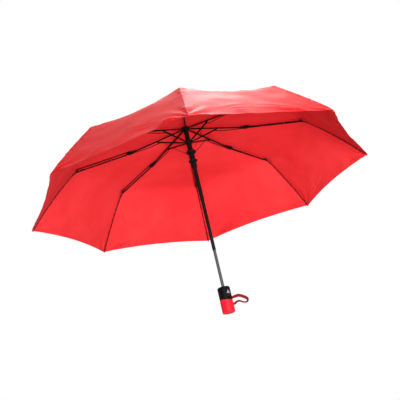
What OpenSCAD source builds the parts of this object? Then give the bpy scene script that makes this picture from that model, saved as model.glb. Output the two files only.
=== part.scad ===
// Three-fold automatic umbrella, open, standing upright on the axis of its shaft.
// Z is up along the shaft and the underside of the handle is at Z = 0. All sizes in mm.

/* [Frame] */
// Height of the rib pivots in the crown above the underside of the handle
crown_h = 556; // [520:1:600]
// Distance of the rib and stretcher pivots from the shaft's axis
pivot_r = 9; // [8.8:0.1:9.6]
// Height of the crown's pivots above the runner's pivots, open
runner_drop = 42; // [38:1:46]
// Radius at which a stretcher meets its top rib
stretcher_r = 88; // [84:1:92]
// Radius of the first rib joint
joint_1_r = 180; // [176:1:186]
// Drop of the first rib joint below the crown's pivots
joint_1_drop = 35.5; // [34:0.5:38]
// Radius of the second rib joint
joint_2_r = 338; // [330:1:346]
// Drop of the second rib joint below the crown's pivots
joint_2_drop = 57; // [54:1:60]
// Radius of the rib tips
tip_r = 485; // [470:1:500]
// Drop of the rib tips below the crown's pivots
tip_drop = 203; // [195:1:212]
// Turn of the rib circle about the shaft, in degrees
rib_turn = 1.3; // [0:0.1:5]

/* [Ribs] */
// Outer width of the top ribs' and stretchers' channels
channel_w = 3.8; // [3.7:0.1:4.2]
// Wall of the channels
channel_wall = 0.55; // [0.45:0.05:0.6]
// Depth of the top rib's channel
top_rib_h = 3.1; // [2.9:0.1:3.3]
// Depth of the stretcher's channel
stretcher_h = 2.8; // [2.6:0.1:3]
// Outer width of the middle rib's channel
mid_rib_w = 3.2; // [3.1:0.1:3.4]
// Depth of the middle rib's channel
mid_rib_h = 2.6; // [2.4:0.1:2.8]
// Thickness of the tongues and of the link rods
tongue_t = 1.4; // [1.2:0.1:1.5]
// Depth of the link rods
rod_h = 1.6; // [1.4:0.1:1.8]
// Bend of the link rods away from the top ribs
link_bow = 2.9; // [2.6:0.1:3]
// Depth of the control wires
wire_h = 2.2; // [1.8:0.1:2.4]
// Thickness of the control wires
wire_t = 1.6; // [1.2:0.1:1.8]
// Radius of the outer ribs
outer_rib_r = 1.1; // [0.9:0.1:1.2]
// Rise of the outer rib's bow above its chord
outer_rib_bow = 5; // [3:0.5:7]
// Height of the outer rib's root above the second joint's pivot
outer_rib_rise = 1.9; // [1.8:0.1:2.4]
// Height of the first joint's pivot above the top rib's middle line
joint_1_rise = 2.6; // [2.4:0.1:2.8]
// Lever of a stretcher beyond its pivot, which drives the link rod
stretcher_lever = 9; // [8.8:0.1:9.4]
// Lever of the middle rib, which the link rod turns
mid_lever = 8.275; // [8:0.05:8.5]
// Distance of the control wire's anchor from the first joint
anchor_lever = 7; // [6.8:0.1:7.2]
// Lever of the outer rib, which the control wire turns
outer_lever = 8.154; // [8:0.05:8.4]
// Radius of the cap on each rib's tip
tip_cap_r = 1.9; // [1.7:0.1:2.2]
// Length of the cap on each rib's tip
tip_cap_len = 11; // [9:0.5:13]

/* [Pins] */
// Radius of the rivets
pin_r = 0.8; // [0.7:0.05:0.9]
// Radial clearance of a bore on its rivet
pin_clear = 0.05; // [0.03:0.01:0.08]
// Radius of an eye round a rivet
eye_r = 1.8; // [1.7:0.05:1.9]
// Radius of the loose eyes that close the linkage
loose_eye_r = 2.45; // [2.4:0.05:2.6]
// Radius of the bore in the loose eyes
loose_bore_r = 1.75; // [1.7:0.05:1.8]
// Gap between two pieces that move beside each other
side_gap = 0.35; // [0.3:0.05:0.4]
// Radius of the rivets' heads
head_r = 1.35; // [1.2:0.05:1.4]
// Height of the rivets' heads
head_h = 0.5; // [0.4:0.1:0.8]

/* [Crown and runner] */
// Outer radius of the crown and of the runner's ring
ring_r = 12.5; // [12:0.1:13]
// Width of the slots for the ribs
slot_w = 2.1; // [2:0.05:2.3]
// Height of the runner's ring
ring_h = 7; // [6.5:0.1:8]
// Height of the crown with its neck, which reaches down towards the runner
crown_body_h = 36; // [34:0.5:38]
// Radius of the crown's neck
crown_neck_r = 7; // [6.8:0.1:7.1]
// Radius of the runner's neck
neck_r = 7.2; // [7:0.1:7.6]
// Radius of the runner's sleeve
sleeve_r = 8; // [7.8:0.1:8.2]
// Radius of the runner's upper flange
flange_1_r = 14.5; // [14:0.1:15]
// Distance of the upper flange below the runner's pivots
flange_1_drop = 33; // [31:1:35]
// Radius of the runner's lower flange
flange_2_r = 13; // [12.5:0.1:13.5]
// Distance of the lower flange below the runner's pivots
flange_2_drop = 61.6; // [61:0.2:63]
// Thickness of the upper flange
flange_1_t = 7.4; // [6:0.2:8]
// Thickness of the lower flange
flange_2_t = 5.4; // [4:0.2:6]
// Length of the runner below its pivots
runner_len = 86; // [82:1:87]
// Radius of the cap above the cloth
cap_r = 13; // [12:0.5:14]
// Height of the ferrule above the cloth
ferrule_h = 17; // [14:1:22]

/* [Shaft] */
// Outer radius of the top tube
top_tube_r = 5.6; // [5.5:0.1:5.7]
// Outer radius of the middle tube
middle_tube_r = 4.9; // [4.8:0.05:4.95]
// Outer radius of the bottom tube
bottom_tube_r = 4.2; // [4.1:0.05:4.25]
// Wall of the tubes
tube_wall = 0.6; // [0.5:0.05:0.62]
// Length of the top tube
top_tube_len = 232; // [225:1:234]
// Length of the middle tube that shows below the top tube
middle_show = 149; // [140:1:150]
// Length of the bottom tube that shows above the handle
bottom_show = 107; // [100:1:108]
// Length by which each tube stays inside the next
tube_overlap = 28; // [24:1:32]
// Radial clearance of the runner on the shaft
slide_clear = 0.08; // [0.05:0.01:0.1]
// Coils of the spring in the shaft
spring_coils = 26; // [20:1:30]
// Radius of the spring's wire
spring_wire_r = 0.5; // [0.4:0.05:0.6]

/* [Handle] */
// Outer radius of the handle
handle_r = 17.5; // [16.5:0.5:18]
// Height of the slanted joint between grip and shell, on the axis
seam_h = 37.2; // [36:0.1:39]
// Slant of that joint, in degrees
seam_tilt = 11.7; // [9:0.1:13]
// Height of the top of the handle
handle_h = 71.5; // [70:0.5:74]
// Wall of the soft grip
grip_wall = 3; // [2.5:0.5:3.5]
// Step by which the shell is slimmer than the grip
shell_step = 0.3; // [0.2:0.05:0.4]
// Distance below the joint at which the grip starts to taper to the shell
grip_taper = 5.7; // [5:0.1:7]
// Rounding of the underside of the grip
grip_round = 4; // [3:0.5:6]
// Rounding of the top edge of the handle
shell_round = 4; // [3:0.5:5]
// Radius of the socket that takes the runner
socket_r = 8.8; // [8.6:0.1:9]
// Depth of the socket that takes the runner
socket_depth = 27; // [26:0.5:30]
// Width of the push button
button_w = 15; // [13:0.5:16]
// Height of the push button
button_h = 20; // [18:0.5:21]
// Distance of the button's middle below the top of the handle
button_drop = 19; // [18:0.5:20]
// Amount by which the button stands proud
button_proud = 1.3; // [1:0.1:1.6]
// Travel of the button
button_travel = 2; // [1.5:0.1:2.2]
// Radial clearance round the button
button_clear = 0.3; // [0.3:0.05:0.4]
// Direction of the button about the shaft, in degrees
button_turn = -56; // [-65:1:-50]

/* [Cloth and strap] */
// Thickness of the cloth's solid
cloth_t = 0.4; // [0.3:0.1:0.8]
// Height of the cloth above the crown's pivots
cloth_top = 5.6; // [5.5:0.1:6.5]
// Height of the cloth over the first rib joint
cloth_rise_1 = 6.4; // [6.2:0.1:7]
// Height of the cloth over the second rib joint
cloth_rise_2 = 9.6; // [9.5:0.1:10]
// Height of the cloth over the rib tips
cloth_rise_tip = 3.2; // [3.1:0.1:3.8]
// Depth of the hem's curve between two tips
hem_scallop = 12; // [8:1:16]
// Hollow of a panel between two ribs
panel_hollow = 5; // [3:0.5:7]
// Width of the wrist strap
strap_w = 8.4; // [7:0.2:9]
// Thickness of the wrist strap
strap_t = 1.2; // [1:0.1:1.5]

/* [Hidden] */
$fn = 48;

rib_count = 8;
rib_step = 360 / rib_count;
// A hair by which pieces of one solid run into each other
bite = 0.05;

// Places in a rib's own plane, as [radius, height above the underside of the handle]
crown_p = [pivot_r, crown_h];
runner_p = [pivot_r, crown_h - runner_drop];
stretcher_p = [stretcher_r, crown_h - runner_drop / 2];
joint_1_p = [joint_1_r, crown_h - joint_1_drop];
joint_2_p = [joint_2_r, crown_h - joint_2_drop];
tip_p = [tip_r, crown_h - tip_drop];

function angle_of(a, b) = atan2(b[1] - a[1], b[0] - a[0]);
function turned(p, a) = [p[0] * cos(a) - p[1] * sin(a), p[0] * sin(a) + p[1] * cos(a)];
function along(p, a, q) = p + turned(q, a);

// Top rib: its middle line passes below the first joint's pivot
top_len = sqrt(pow(norm(joint_1_p - crown_p), 2) - pow(joint_1_rise, 2));
top_a = angle_of(crown_p, joint_1_p) - asin(joint_1_rise / norm(joint_1_p - crown_p));
stretcher_in_top = turned(stretcher_p - crown_p, -top_a);
stretcher_len = norm(stretcher_p - runner_p);
stretcher_a = angle_of(runner_p, stretcher_p);
mid_len = norm(joint_2_p - joint_1_p);
mid_a = angle_of(joint_1_p, joint_2_p);
outer_len = norm(tip_p - joint_2_p);
outer_a = angle_of(joint_2_p, tip_p);

// Levers of the two four-bar linkages, at rest, as angles in the frame of the rib that is named
mid_lever_a = 194.73 - (mid_a - top_a);
anchor_a = 160;
outer_lever_a = 138.95;
mid_lever_p = mid_lever * [cos(mid_lever_a), sin(mid_lever_a)];
anchor_in_top = [top_len, joint_1_rise]
    + turned(anchor_lever * [cos(anchor_a), sin(anchor_a)], mid_a - top_a);
anchor_p = along(crown_p, top_a, anchor_in_top);
outer_lever_p = outer_lever * [cos(outer_lever_a), sin(outer_lever_a)];
outer_lever_end_p = along(joint_2_p, mid_a, outer_lever_p);
link_p = along(stretcher_p, stretcher_a, [-stretcher_lever, 0]);
mid_lever_end_p = along(joint_1_p, mid_a, mid_lever_p);
// The closed linkage isn't linear, so its rods lie a little off their loose pins at rest
link_slack = 0.416;
link_slack_a = -0.295;
wire_slack_a = -0.326;
link_len = norm(mid_lever_end_p - link_p) - link_slack;
link_a = angle_of(link_p, mid_lever_end_p) + link_slack_a;
wire_len = norm(outer_lever_end_p - anchor_p);
wire_a = angle_of(anchor_p, outer_lever_end_p) + wire_slack_a;

// Widths across a rib, from the middle of the stack outwards
channel_in = channel_w / 2 - channel_wall;
fork_t = 0.6;
fork_in = tongue_t / 2 + side_gap;
fork_out = fork_in + fork_t;
cheek_in = fork_out + side_gap;
cheek_t = 1.15;
cheek_out = cheek_in + cheek_t;
wire_in = cheek_out + side_gap;
wire_out = wire_in + wire_t;
bore_r = pin_r + pin_clear;
small_pin_r = pin_r - 0.1;
// Where the channels give way to flattened ends
root_len = 6;
top_web_end = top_len - 30;
block_len = 27;
top_rib_top = 2;

// Heights of the pieces on the shaft
top_tube_z0 = crown_h - top_tube_len + 4;
middle_z0 = handle_h + bottom_show;
bottom_top = middle_z0 + tube_overlap;
middle_top = top_tube_z0 + tube_overlap;
grip_floor = 5;
tube_z0 = grip_floor + 4;
shell_in_r = handle_r - grip_wall;
shell_r = handle_r - shell_step;

module at_rib(i) {
    rotate([0, 0, 90 - (i - 3) * rib_step + rib_turn]) children();
}

// Puts a piece drawn along +X, with its depth along Z, at a place in the rib's plane
module in_plane(p, a) {
    translate([p[0], 0, p[1]]) rotate([0, -a, 0]) children();
}

// A flat piece of the rib's plane, between two distances to the side
module plate(y0, y1) {
    translate([0, y1, 0]) rotate([90, 0, 0]) linear_extrude(y1 - y0) children();
}

// The same piece on both sides of the middle
module plates(y0, y1) {
    plate(y0, y1) children();
    plate(-y1, -y0) children();
}

// A bar's outline between two points of the rib's plane
module bar_2d(p, q, h) {
    translate(p) rotate(angle_of(p, q)) translate([0, -h / 2]) square([norm(q - p), h]);
}

// A bar's outline along bent points, with mitred bends
module bent_2d(p, h) {
    n = len(p);
    function ahead(k) = let (d = p[min(k + 1, n - 1)] - p[min(k, n - 2)]) d / norm(d);
    function mitre(k) = let (a = ahead(max(k - 1, 0)), b = ahead(k), m = (a + b) / norm(a + b))
        [-m[1], m[0]] * h / 2 / (m * a);
    polygon(concat([for (k = [0:n - 1]) p[k] - mitre(k)], [for (k = [n - 1:-1:0]) p[k] + mitre(k)]));
}

// An open channel along +X, with its web above
module channel(x0, x1, web_x0, web_x1, w, z_low, z_high, wall) {
    for (side = [-1, 1])
        translate([x0, side * (w - wall) / 2 - wall / 2, z_low]) cube([x1 - x0, wall, z_high - z_low]);
    translate([web_x0, -w / 2, z_high - wall]) cube([web_x1 - web_x0, w, wall]);
}

module top_rib(i) {
    z_high = top_rib_top;
    z_low = top_rib_top - top_rib_h;
    flange_end = top_len - block_len + 9;
    color([0.08, 0.08, 0.09]) at_rib(i) in_plane(crown_p, top_a) union() {
        // channel and its flattened root
        channel(root_len, flange_end, root_len, top_web_end, channel_w, z_low, z_high, channel_wall);
        difference() {
            plate(-tongue_t / 2, tongue_t / 2) union() {
                circle(eye_r);
                bar_2d([0, 0], [root_len + 6, 0.6], eye_r * 1.6);
            }
            plate(-tongue_t, tongue_t) circle(bore_r);
        }
        translate([root_len, -channel_in - bite, -0.6]) cube([4, 2 * (channel_in + bite), 2.2]);
        // lug and rivet that carry the stretcher
        plate(-tongue_t / 2, tongue_t / 2) union() {
            translate(stretcher_in_top) circle(eye_r);
            bar_2d(stretcher_in_top, [stretcher_in_top[0] + 1, z_high - bite], 2 * eye_r - 0.4);
        }
        rotate([90, 0, 0]) translate([0, 0, -channel_w / 2 - side_gap / 2])
            linear_extrude(channel_w + side_gap) translate(stretcher_in_top) circle(pin_r);
        for (side = [-1, 1])
            translate([0, side * (channel_w / 2 + side_gap / 2 + head_h / 2), 0]) rotate([90, 0, 0])
                linear_extrude(head_h, center = true) translate(stretcher_in_top) circle(head_r);
        joint_block();
    }
}

// The moulded joint at the top rib's outer end: two cheeks, joined by the channel between them
module joint_block() {
    pivot = [top_len, joint_1_rise];
    x0 = top_len - block_len;
    low = top_rib_top - top_rib_h - 1.7;
    high = top_rib_top + 1.4;
    difference() {
        plates(channel_w / 2 - bite, cheek_out) union() {
            polygon([[x0, low + 1.2], [x0 + 3, low], [top_len - 8, low],
                [top_len + 2, pivot[1] - 3.1], [top_len + 3.1, pivot[1]],
                [top_len + 1, pivot[1] + 3], [anchor_in_top[0] + 1, anchor_in_top[1] + eye_r],
                [anchor_in_top[0] - 1.2, anchor_in_top[1] + eye_r],
                [anchor_in_top[0] - 6, high], [x0 + 2, high - 0.4], [x0, high - 1.6]]);
            translate(pivot) circle(3.1);
        }
        // room for the middle rib's fork
        translate([top_len - 16, -cheek_in, -12]) cube([30, 2 * cheek_in, 30]);
        for (x = [x0 + 5, x0 + 8])
            translate([x, 0, low + 2.6]) rotate([90, 0, 0])
                cylinder(r = 0.9, h = 2 * cheek_out + 1, center = true);
    }
    // stub rivets of the first joint, short of the middle so that the link rod can pass
    for (side = [-1, 1])
        translate([0, side * (fork_in + cheek_out + head_h) / 2, 0]) rotate([90, 0, 0])
            linear_extrude(cheek_out + head_h - fork_in, center = true)
                translate(pivot) circle(pin_r);
    translate([0, 0, 0]) plates(cheek_out - bite, cheek_out + head_h / 2) translate(pivot) circle(head_r);
    // anchor of the control wire, on one side
    translate([0, 0, 0]) plate(cheek_in + bite, wire_out + side_gap) translate(anchor_in_top) circle(pin_r);
    plate(wire_out + side_gap / 2, wire_out + side_gap / 2 + head_h) translate(anchor_in_top) circle(head_r);
}

module stretcher(i) {
    z_high = stretcher_h / 2;
    z_low = -stretcher_h / 2;
    link_x = stretcher_len - stretcher_lever;
    web_end = link_x - 4;
    color([0.1, 0.1, 0.11]) at_rib(i) in_plane(runner_p, stretcher_a) difference() {
        union() {
            channel(root_len, stretcher_len - 1, root_len, web_end, channel_w, z_low, z_high, channel_wall);
            plate(-tongue_t / 2, tongue_t / 2) union() {
                circle(eye_r);
                bar_2d([0, 0], [root_len + 6, 0], eye_r * 1.5);
            }
            translate([root_len, -channel_in - bite, -1.2]) cube([4, 2 * (channel_in + bite), 2.2]);
            plates(channel_in, channel_w / 2) union() {
                translate([stretcher_len, 0]) circle(eye_r);
                translate([link_x, 0]) circle(eye_r);
            }
            // rivet of the link rod
            translate([link_x, 0, 0]) plate(-channel_w / 2, channel_w / 2) circle(pin_r);
            translate([link_x, 0, 0]) plates(channel_w / 2, channel_w / 2 + head_h) circle(head_r);
        }
        plate(-tongue_t, tongue_t) circle(bore_r);
        translate([stretcher_len, 0, 0]) rotate([90, 0, 0])
            cylinder(r = bore_r, h = channel_w + 2, center = true);
    }
}

// The link rod is bent away from the top rib between its eyes
module link_rod(i) {
    color([0.12, 0.12, 0.13]) at_rib(i) in_plane(link_p, link_a) difference() {
        plate(-tongue_t / 2, tongue_t / 2) union() {
            circle(eye_r);
            bent_2d([[eye_r / 2, -0.2], [link_len * 0.3, -link_bow], [link_len - 22, -link_bow],
                [link_len - loose_bore_r - 0.4, -0.5]], rod_h);
            translate([link_len, 0]) circle(loose_eye_r);
        }
        plate(-tongue_t, tongue_t) circle(bore_r);
        plate(-tongue_t, tongue_t) translate([link_len, 0]) circle(loose_bore_r);
    }
}

module mid_rib(i) {
    low_a = asin(joint_1_rise / mid_len);
    bar_h = mid_rib_h;
    end_x = mid_len - outer_lever - 4;
    color([0.1, 0.1, 0.11]) at_rib(i) in_plane(joint_1_p, mid_a) difference() {
        union() {
            // fork and lever at the first joint
            plates(fork_in, fork_out) union() {
                circle(2);
                bar_2d([0, 0], mid_lever_p, 3);
                translate(mid_lever_p) circle(eye_r);
                polygon([[-1.6, 1], [-0.8, -2.6], [6, -joint_1_rise - bar_h / 2],
                    [12, -joint_1_rise - bar_h / 2 + 0.2], [12, -joint_1_rise + bar_h / 2],
                    [7, -joint_1_rise + bar_h / 2], [1.6, 1.2]]);
            }
            // loose pin that closes the first linkage
            plate(-fork_out, fork_out) translate(mid_lever_p) circle(small_pin_r);
            // channel that runs out to the second joint
            translate([0, 0, -joint_1_rise]) rotate([0, -low_a, 0])
                channel(8, mid_len - 1, 11, end_x, mid_rib_w, -bar_h / 2, bar_h / 2, fork_t);
            // fork at the second joint
            plates(fork_in, fork_out) translate([mid_len, 0]) circle(2);
            translate([mid_len, 0, 0]) plate(-fork_out, fork_out) circle(pin_r);
            translate([mid_len, 0, 0]) plates(fork_out, fork_out + head_h) circle(head_r);
            // ferrule of the channel's outer end
            translate([0, 0, -joint_1_rise]) rotate([0, -low_a, 0])
                channel(end_x - 12, end_x, end_x - 12, end_x, 2 * fork_out + 1, -bar_h / 2,
                    bar_h / 2 + 0.5, 0.55);
        }
        plate(-cheek_in, cheek_in) circle(bore_r);
    }
}

module control_wire(i) {
    color([0.12, 0.12, 0.13]) at_rib(i) in_plane(anchor_p, wire_a) difference() {
        plate(wire_in, wire_out) union() {
            circle(eye_r);
            bar_2d([eye_r / 2, 0], [wire_len - loose_bore_r - 0.3, 0], wire_h);
            translate([wire_len, 0]) circle(loose_eye_r);
        }
        plate(wire_in - 1, wire_out + 1) circle(bore_r);
        plate(wire_in - 1, wire_out + 1) translate([wire_len, 0]) circle(loose_bore_r);
    }
}

module outer_rib(i) {
    bow_r = (outer_len * outer_len / 4 + outer_rib_bow * outer_rib_bow) / (2 * outer_rib_bow);
    half_a = asin(outer_len / 2 / bow_r);
    tilt = asin(outer_rib_rise / outer_len);
    start = 9;
    socket_len = 8;
    socket_x = start + socket_len / 2 - 0.5;
    socket_z = outer_rib_rise + 4 * outer_rib_bow * socket_x / outer_len * (1 - socket_x / outer_len)
        - socket_x * tan(tilt);
    start_a = 2 * half_a * start / outer_len;
    lever_p = turned(outer_lever_p, mid_a - outer_a);
    color([0.09, 0.09, 0.1]) at_rib(i) in_plane(joint_2_p, outer_a) union() {
        // root plate with its lever
        difference() {
            plate(-tongue_t / 2, tongue_t / 2) union() {
                circle(2.1);
                bar_2d([0, 0], lever_p, 3);
                translate(lever_p) circle(eye_r);
                bar_2d([0, 0], [start + 6, socket_z], 2.6);
            }
            plate(-tongue_t, tongue_t) circle(bore_r);
        }
        // loose pin that closes the second linkage
        plate(-tongue_t / 2, wire_out + side_gap) translate(lever_p) circle(small_pin_r);
        // bowed wire
        translate([0, 0, outer_rib_rise]) rotate([0, tilt, 0])
            translate([outer_len / 2, 0, outer_rib_bow - bow_r]) rotate([90, 0, 0])
                rotate([0, 0, 90 - half_a]) rotate_extrude(angle = 2 * half_a - start_a, $fn = 96)
                    translate([bow_r, 0]) circle(outer_rib_r, $fn = 24);
        // socket that grips the wire
        translate([socket_x, 0, socket_z]) rotate([0, 90 - half_a + tilt + 0.7, 0])
            cylinder(r = outer_rib_r + 0.5, h = socket_len, center = true);
        // cap on the tip
        translate([outer_len, 0, 0]) rotate([0, 90 + half_a, 0]) union() {
            translate([0, 0, -tip_cap_len + 2]) cylinder(r = tip_cap_r, h = tip_cap_len - 2);
            sphere(r = tip_cap_r, $fn = 32);
        }
    }
}

// A ring of slots with a rivet in each; up = 1 leaves the slots open above, -1 below
module slotted_ring(z_mid, h, up, hub_r) {
    difference() {
        translate([0, 0, z_mid]) rotate_extrude() polygon([[hub_r, -h / 2], [ring_r - 1, -h / 2],
            [ring_r, -h / 2 + 1], [ring_r, h / 2 - 1], [ring_r - 1, h / 2], [hub_r, h / 2]]);
        for (i = [1:rib_count])
            at_rib(i) translate([pivot_r - eye_r - 0.4, -slot_w / 2, z_mid - (up > 0 ? eye_r + 0.6 : h)])
                cube([ring_r, slot_w, h + eye_r + 0.6]);
    }
    for (i = [1:rib_count])
        at_rib(i) translate([pivot_r, 0, z_mid]) rotate([90, 0, 0])
            cylinder(r = pin_r, h = slot_w + 2, center = true);
}

module crown() {
    plate_t = cloth_top - cloth_t - eye_r - 0.7;
    color([0.07, 0.07, 0.08]) union() {
        slotted_ring(crown_h, 2 * (eye_r + 1), -1, top_tube_r);
        translate([0, 0, crown_h + eye_r + 0.7]) rotate_extrude()
            polygon([[top_tube_r, 0], [ring_r - 1, 0], [ring_r, 0.6],
                [ring_r - 0.4, plate_t], [top_tube_r, plate_t]]);
        translate([0, 0, crown_h - crown_body_h + 2]) rotate_extrude()
            polygon([[top_tube_r, 0], [crown_neck_r - 0.6, 0], [crown_neck_r, 0.8],
                [crown_neck_r, crown_body_h], [top_tube_r, crown_body_h]]);
    }
}

module cap() {
    z0 = crown_h + cloth_top;
    color([0.06, 0.06, 0.07]) translate([0, 0, z0]) rotate_extrude()
        polygon([[0, -1.2], [top_tube_r - 0.5, -1.2], [top_tube_r - 0.5, 0.05], [cap_r - 0.8, 0.05],
            [cap_r, 0.9], [cap_r - 0.6, 1.9], [cap_r - 4, 3.4], [5.6, 4.6], [4.6, 6],
            [4.2, ferrule_h - 5], [3.8, ferrule_h - 2], [2.6, ferrule_h - 0.5], [0, ferrule_h]]);
}

module top_tube() {
    color([0.06, 0.06, 0.07]) translate([0, 0, top_tube_z0]) difference() {
        cylinder(r = top_tube_r, h = top_tube_len);
        translate([0, 0, -1]) cylinder(r = top_tube_r - tube_wall, h = top_tube_len + 2);
    }
}

module middle_tube() {
    color([0.07, 0.07, 0.08]) translate([0, 0, middle_z0]) difference() {
        cylinder(r = middle_tube_r, h = middle_top - middle_z0);
        translate([0, 0, -1]) cylinder(r = middle_tube_r - tube_wall, h = middle_top - middle_z0 + 2);
    }
}

module bottom_tube() {
    color([0.38, 0.38, 0.4]) translate([0, 0, tube_z0]) difference() {
        cylinder(r = bottom_tube_r, h = bottom_top - tube_z0);
        translate([0, 0, -1]) cylinder(r = bottom_tube_r - tube_wall, h = bottom_top - tube_z0 + 2);
    }
}

// The compression spring that pushes the shaft apart
module shaft_spring() {
    r = bottom_tube_r - tube_wall - spring_wire_r - 0.3;
    z0 = tube_z0 + 1;
    z1 = crown_h + 3;
    per_turn = 10;
    sides = 5;
    steps = spring_coils * per_turn;
    points = [for (s = [0:steps], k = [0:sides - 1])
        let (a = 360 * s / per_turn, b = 360 * k / sides, rr = r + spring_wire_r * cos(b))
            [rr * cos(a), rr * sin(a), z0 + (z1 - z0) * s / steps + spring_wire_r * sin(b)]];
    walls = [for (s = [0:steps - 1], k = [0:sides - 1], half = [0, 1])
        let (a = s * sides + k, b = s * sides + (k + 1) % sides)
            half == 0 ? [a, b + sides, a + sides] : [a, b, b + sides]];
    ends = [for (k = [1:sides - 2], e = [0, 1]) let (base = e * steps * sides)
        e == 0 ? [base, base + k + 1, base + k] : [base, base + k, base + k + 1]];
    color([0.6, 0.6, 0.62]) polyhedron(points, concat(walls, ends), convexity = 8);
}

// A rounded flange about the sleeve, as half of its outline
function flange(r, t, z) = [for (a = [90:-30:-90]) [r - t / 2 + t / 2 * cos(a), z + t / 2 * sin(a)]];

module runner() {
    z0 = crown_h - runner_drop;
    bore = top_tube_r + slide_clear;
    color([0.06, 0.06, 0.07]) union() {
        slotted_ring(z0, ring_h, 1, bore);
        translate([0, 0, z0]) rotate_extrude() polygon(concat(
            [[bore, -ring_h / 2 + 0.4], [neck_r + 1.4, -ring_h / 2 + 0.4], [neck_r, -ring_h / 2 - 2],
                [neck_r, -flange_1_drop + flange_1_t / 2 + 1]],
            flange(flange_1_r, flange_1_t, -flange_1_drop),
            [[sleeve_r, -flange_1_drop - flange_1_t / 2 - 1],
                [sleeve_r, -flange_2_drop + flange_2_t / 2 + 1]],
            flange(flange_2_r, flange_2_t, -flange_2_drop),
            [[sleeve_r, -flange_2_drop - flange_2_t / 2 - 1],
                [sleeve_r, -runner_len + 7], [sleeve_r - 0.8, -runner_len + 6],
                [sleeve_r - 0.8, -runner_len + 0.6], [sleeve_r - 1.3, -runner_len], [bore, -runner_len]]));
    }
}

module button_2d(grow) {
    r = button_w / 2 + grow;
    union() {
        for (side = [-1, 1]) translate([0, side * (button_h - button_w) / 2]) circle(r);
        square([2 * r, button_h - button_w], center = true);
    }
}

// A prism pointing out of the handle at the button's place
module at_button(r0, r1) {
    rotate([0, 0, button_turn]) translate([r0, 0, handle_h - button_drop]) rotate([90, 0, 90])
        linear_extrude(r1 - r0) children();
}

button_back = socket_r + 1.6 + button_travel + 0.4;

module push_button() {
    face_r = shell_r + button_proud;
    color([0.1, 0.1, 0.11]) intersection() {
        at_button(button_back, face_r + 2) button_2d(0);
        translate([0, 0, handle_h - 34]) cylinder(r = face_r, h = 34, $fn = 96);
    }
}

// Everything below the slanted joint, or below a plane at this height over it
module below_seam(lift = 0) {
    size = 120;
    translate([0, 0, seam_h]) rotate([0, 0, -45]) rotate([0, seam_tilt, 0])
        translate([-size / 2, -size / 2, lift - size]) cube(size);
}

module handle_shell() {
    r = shell_r;
    c = shell_round;
    skin_z0 = seam_h - 8;
    color([0.07, 0.07, 0.08]) difference() {
        union() {
            // outer skin above the grip, with its rounded top edge
            difference() {
                rotate_extrude($fn = 96) union() {
                    translate([bottom_tube_r, skin_z0]) square([r - bottom_tube_r, handle_h - skin_z0 - c]);
                    translate([bottom_tube_r, handle_h - c - bite]) square([r - c - bottom_tube_r, c + bite]);
                    intersection() {
                        translate([r - c, handle_h - c]) circle(c);
                        translate([r - c - bite, handle_h - c - bite]) square(c + 1);
                    }
                }
                below_seam();
            }
            // core inside the grip
            rotate_extrude($fn = 96) union() {
                translate([bottom_tube_r, grip_floor])
                    square([shell_in_r - bottom_tube_r, seam_h + 6 - grip_floor]);
                translate([0, grip_floor]) square([shell_in_r, tube_z0 - grip_floor]);
            }
        }
        translate([0, 0, handle_h - socket_depth]) cylinder(r = socket_r, h = socket_depth + 1);
        translate([0, 0, handle_h - 1.2]) cylinder(r1 = socket_r, r2 = socket_r + 1.3, h = 1.3);
        at_button(button_back - button_travel - 0.3, handle_r + 2) button_2d(button_clear);
        // the strap's ends are moulded in
        wrist_strap();
    }
}

module grip() {
    r = handle_r;
    c = grip_round;
    color([0.75, 0.08, 0.12]) difference() {
        intersection() {
            rotate_extrude($fn = 96) union() {
                translate([0, c]) square([r, seam_h - grip_taper - c]);
                polygon([[0, seam_h - grip_taper - bite], [r, seam_h - grip_taper - bite],
                    [r, seam_h - grip_taper], [shell_r, seam_h - grip_taper + 1.5],
                    [shell_r, seam_h + 8], [0, seam_h + 8]]);
                square([r - c, c + bite]);
                intersection() {
                    translate([r - c, c]) circle(c);
                    translate([r - c - bite, -bite]) square([c + 1, c + 2 * bite]);
                }
            }
            below_seam();
        }
        translate([0, 0, grip_floor]) cylinder(r = shell_in_r, h = seam_h + 10, $fn = 96);
        // shadow gap along the joint with the shell
        difference() {
            below_seam(0.01);
            below_seam(-0.8);
            translate([0, 0, -1]) cylinder(r = shell_r - 0.6, h = handle_h, $fn = 96);
        }
    }
}

// The strap's path beside the handle, as [x, y, z, turn about the path in degrees]
strap_path = [[12.8, 2, 39.4, 50], [20.5, 2, 40.4, 40], [28.2, 1, 41.3, 20], [33.6, 0, 41.4, 5],
    [38.2, -1, 39.8, 5],
    [43.8, -2, 36.8, 5], [50.2, -3, 32.2, 10], [54.8, -3.5, 28.4, 25], [56.6, -3.5, 25, 45],
    [55.8, -3, 21.2, 50], [52.6, -2, 18.9, 50], [47.4, 0, 19.4, 50], [41, 2, 22.6, 50], [35.4, 3, 26.2, 45],
    [30.4, 4, 27, 40], [25.5, 6, 26, 40], [21.6, 9.9, 24.2, 30], [17.4, 14.3, 24.8, 20],
    [14.1, 17.1, 27.5, 10], [12.6, 17.9, 31.5, 0], [12.1, 17.6, 36.5, 0], [11, 15, 41, 0], [9.5, 10.5, 45.5, 0]];

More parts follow.
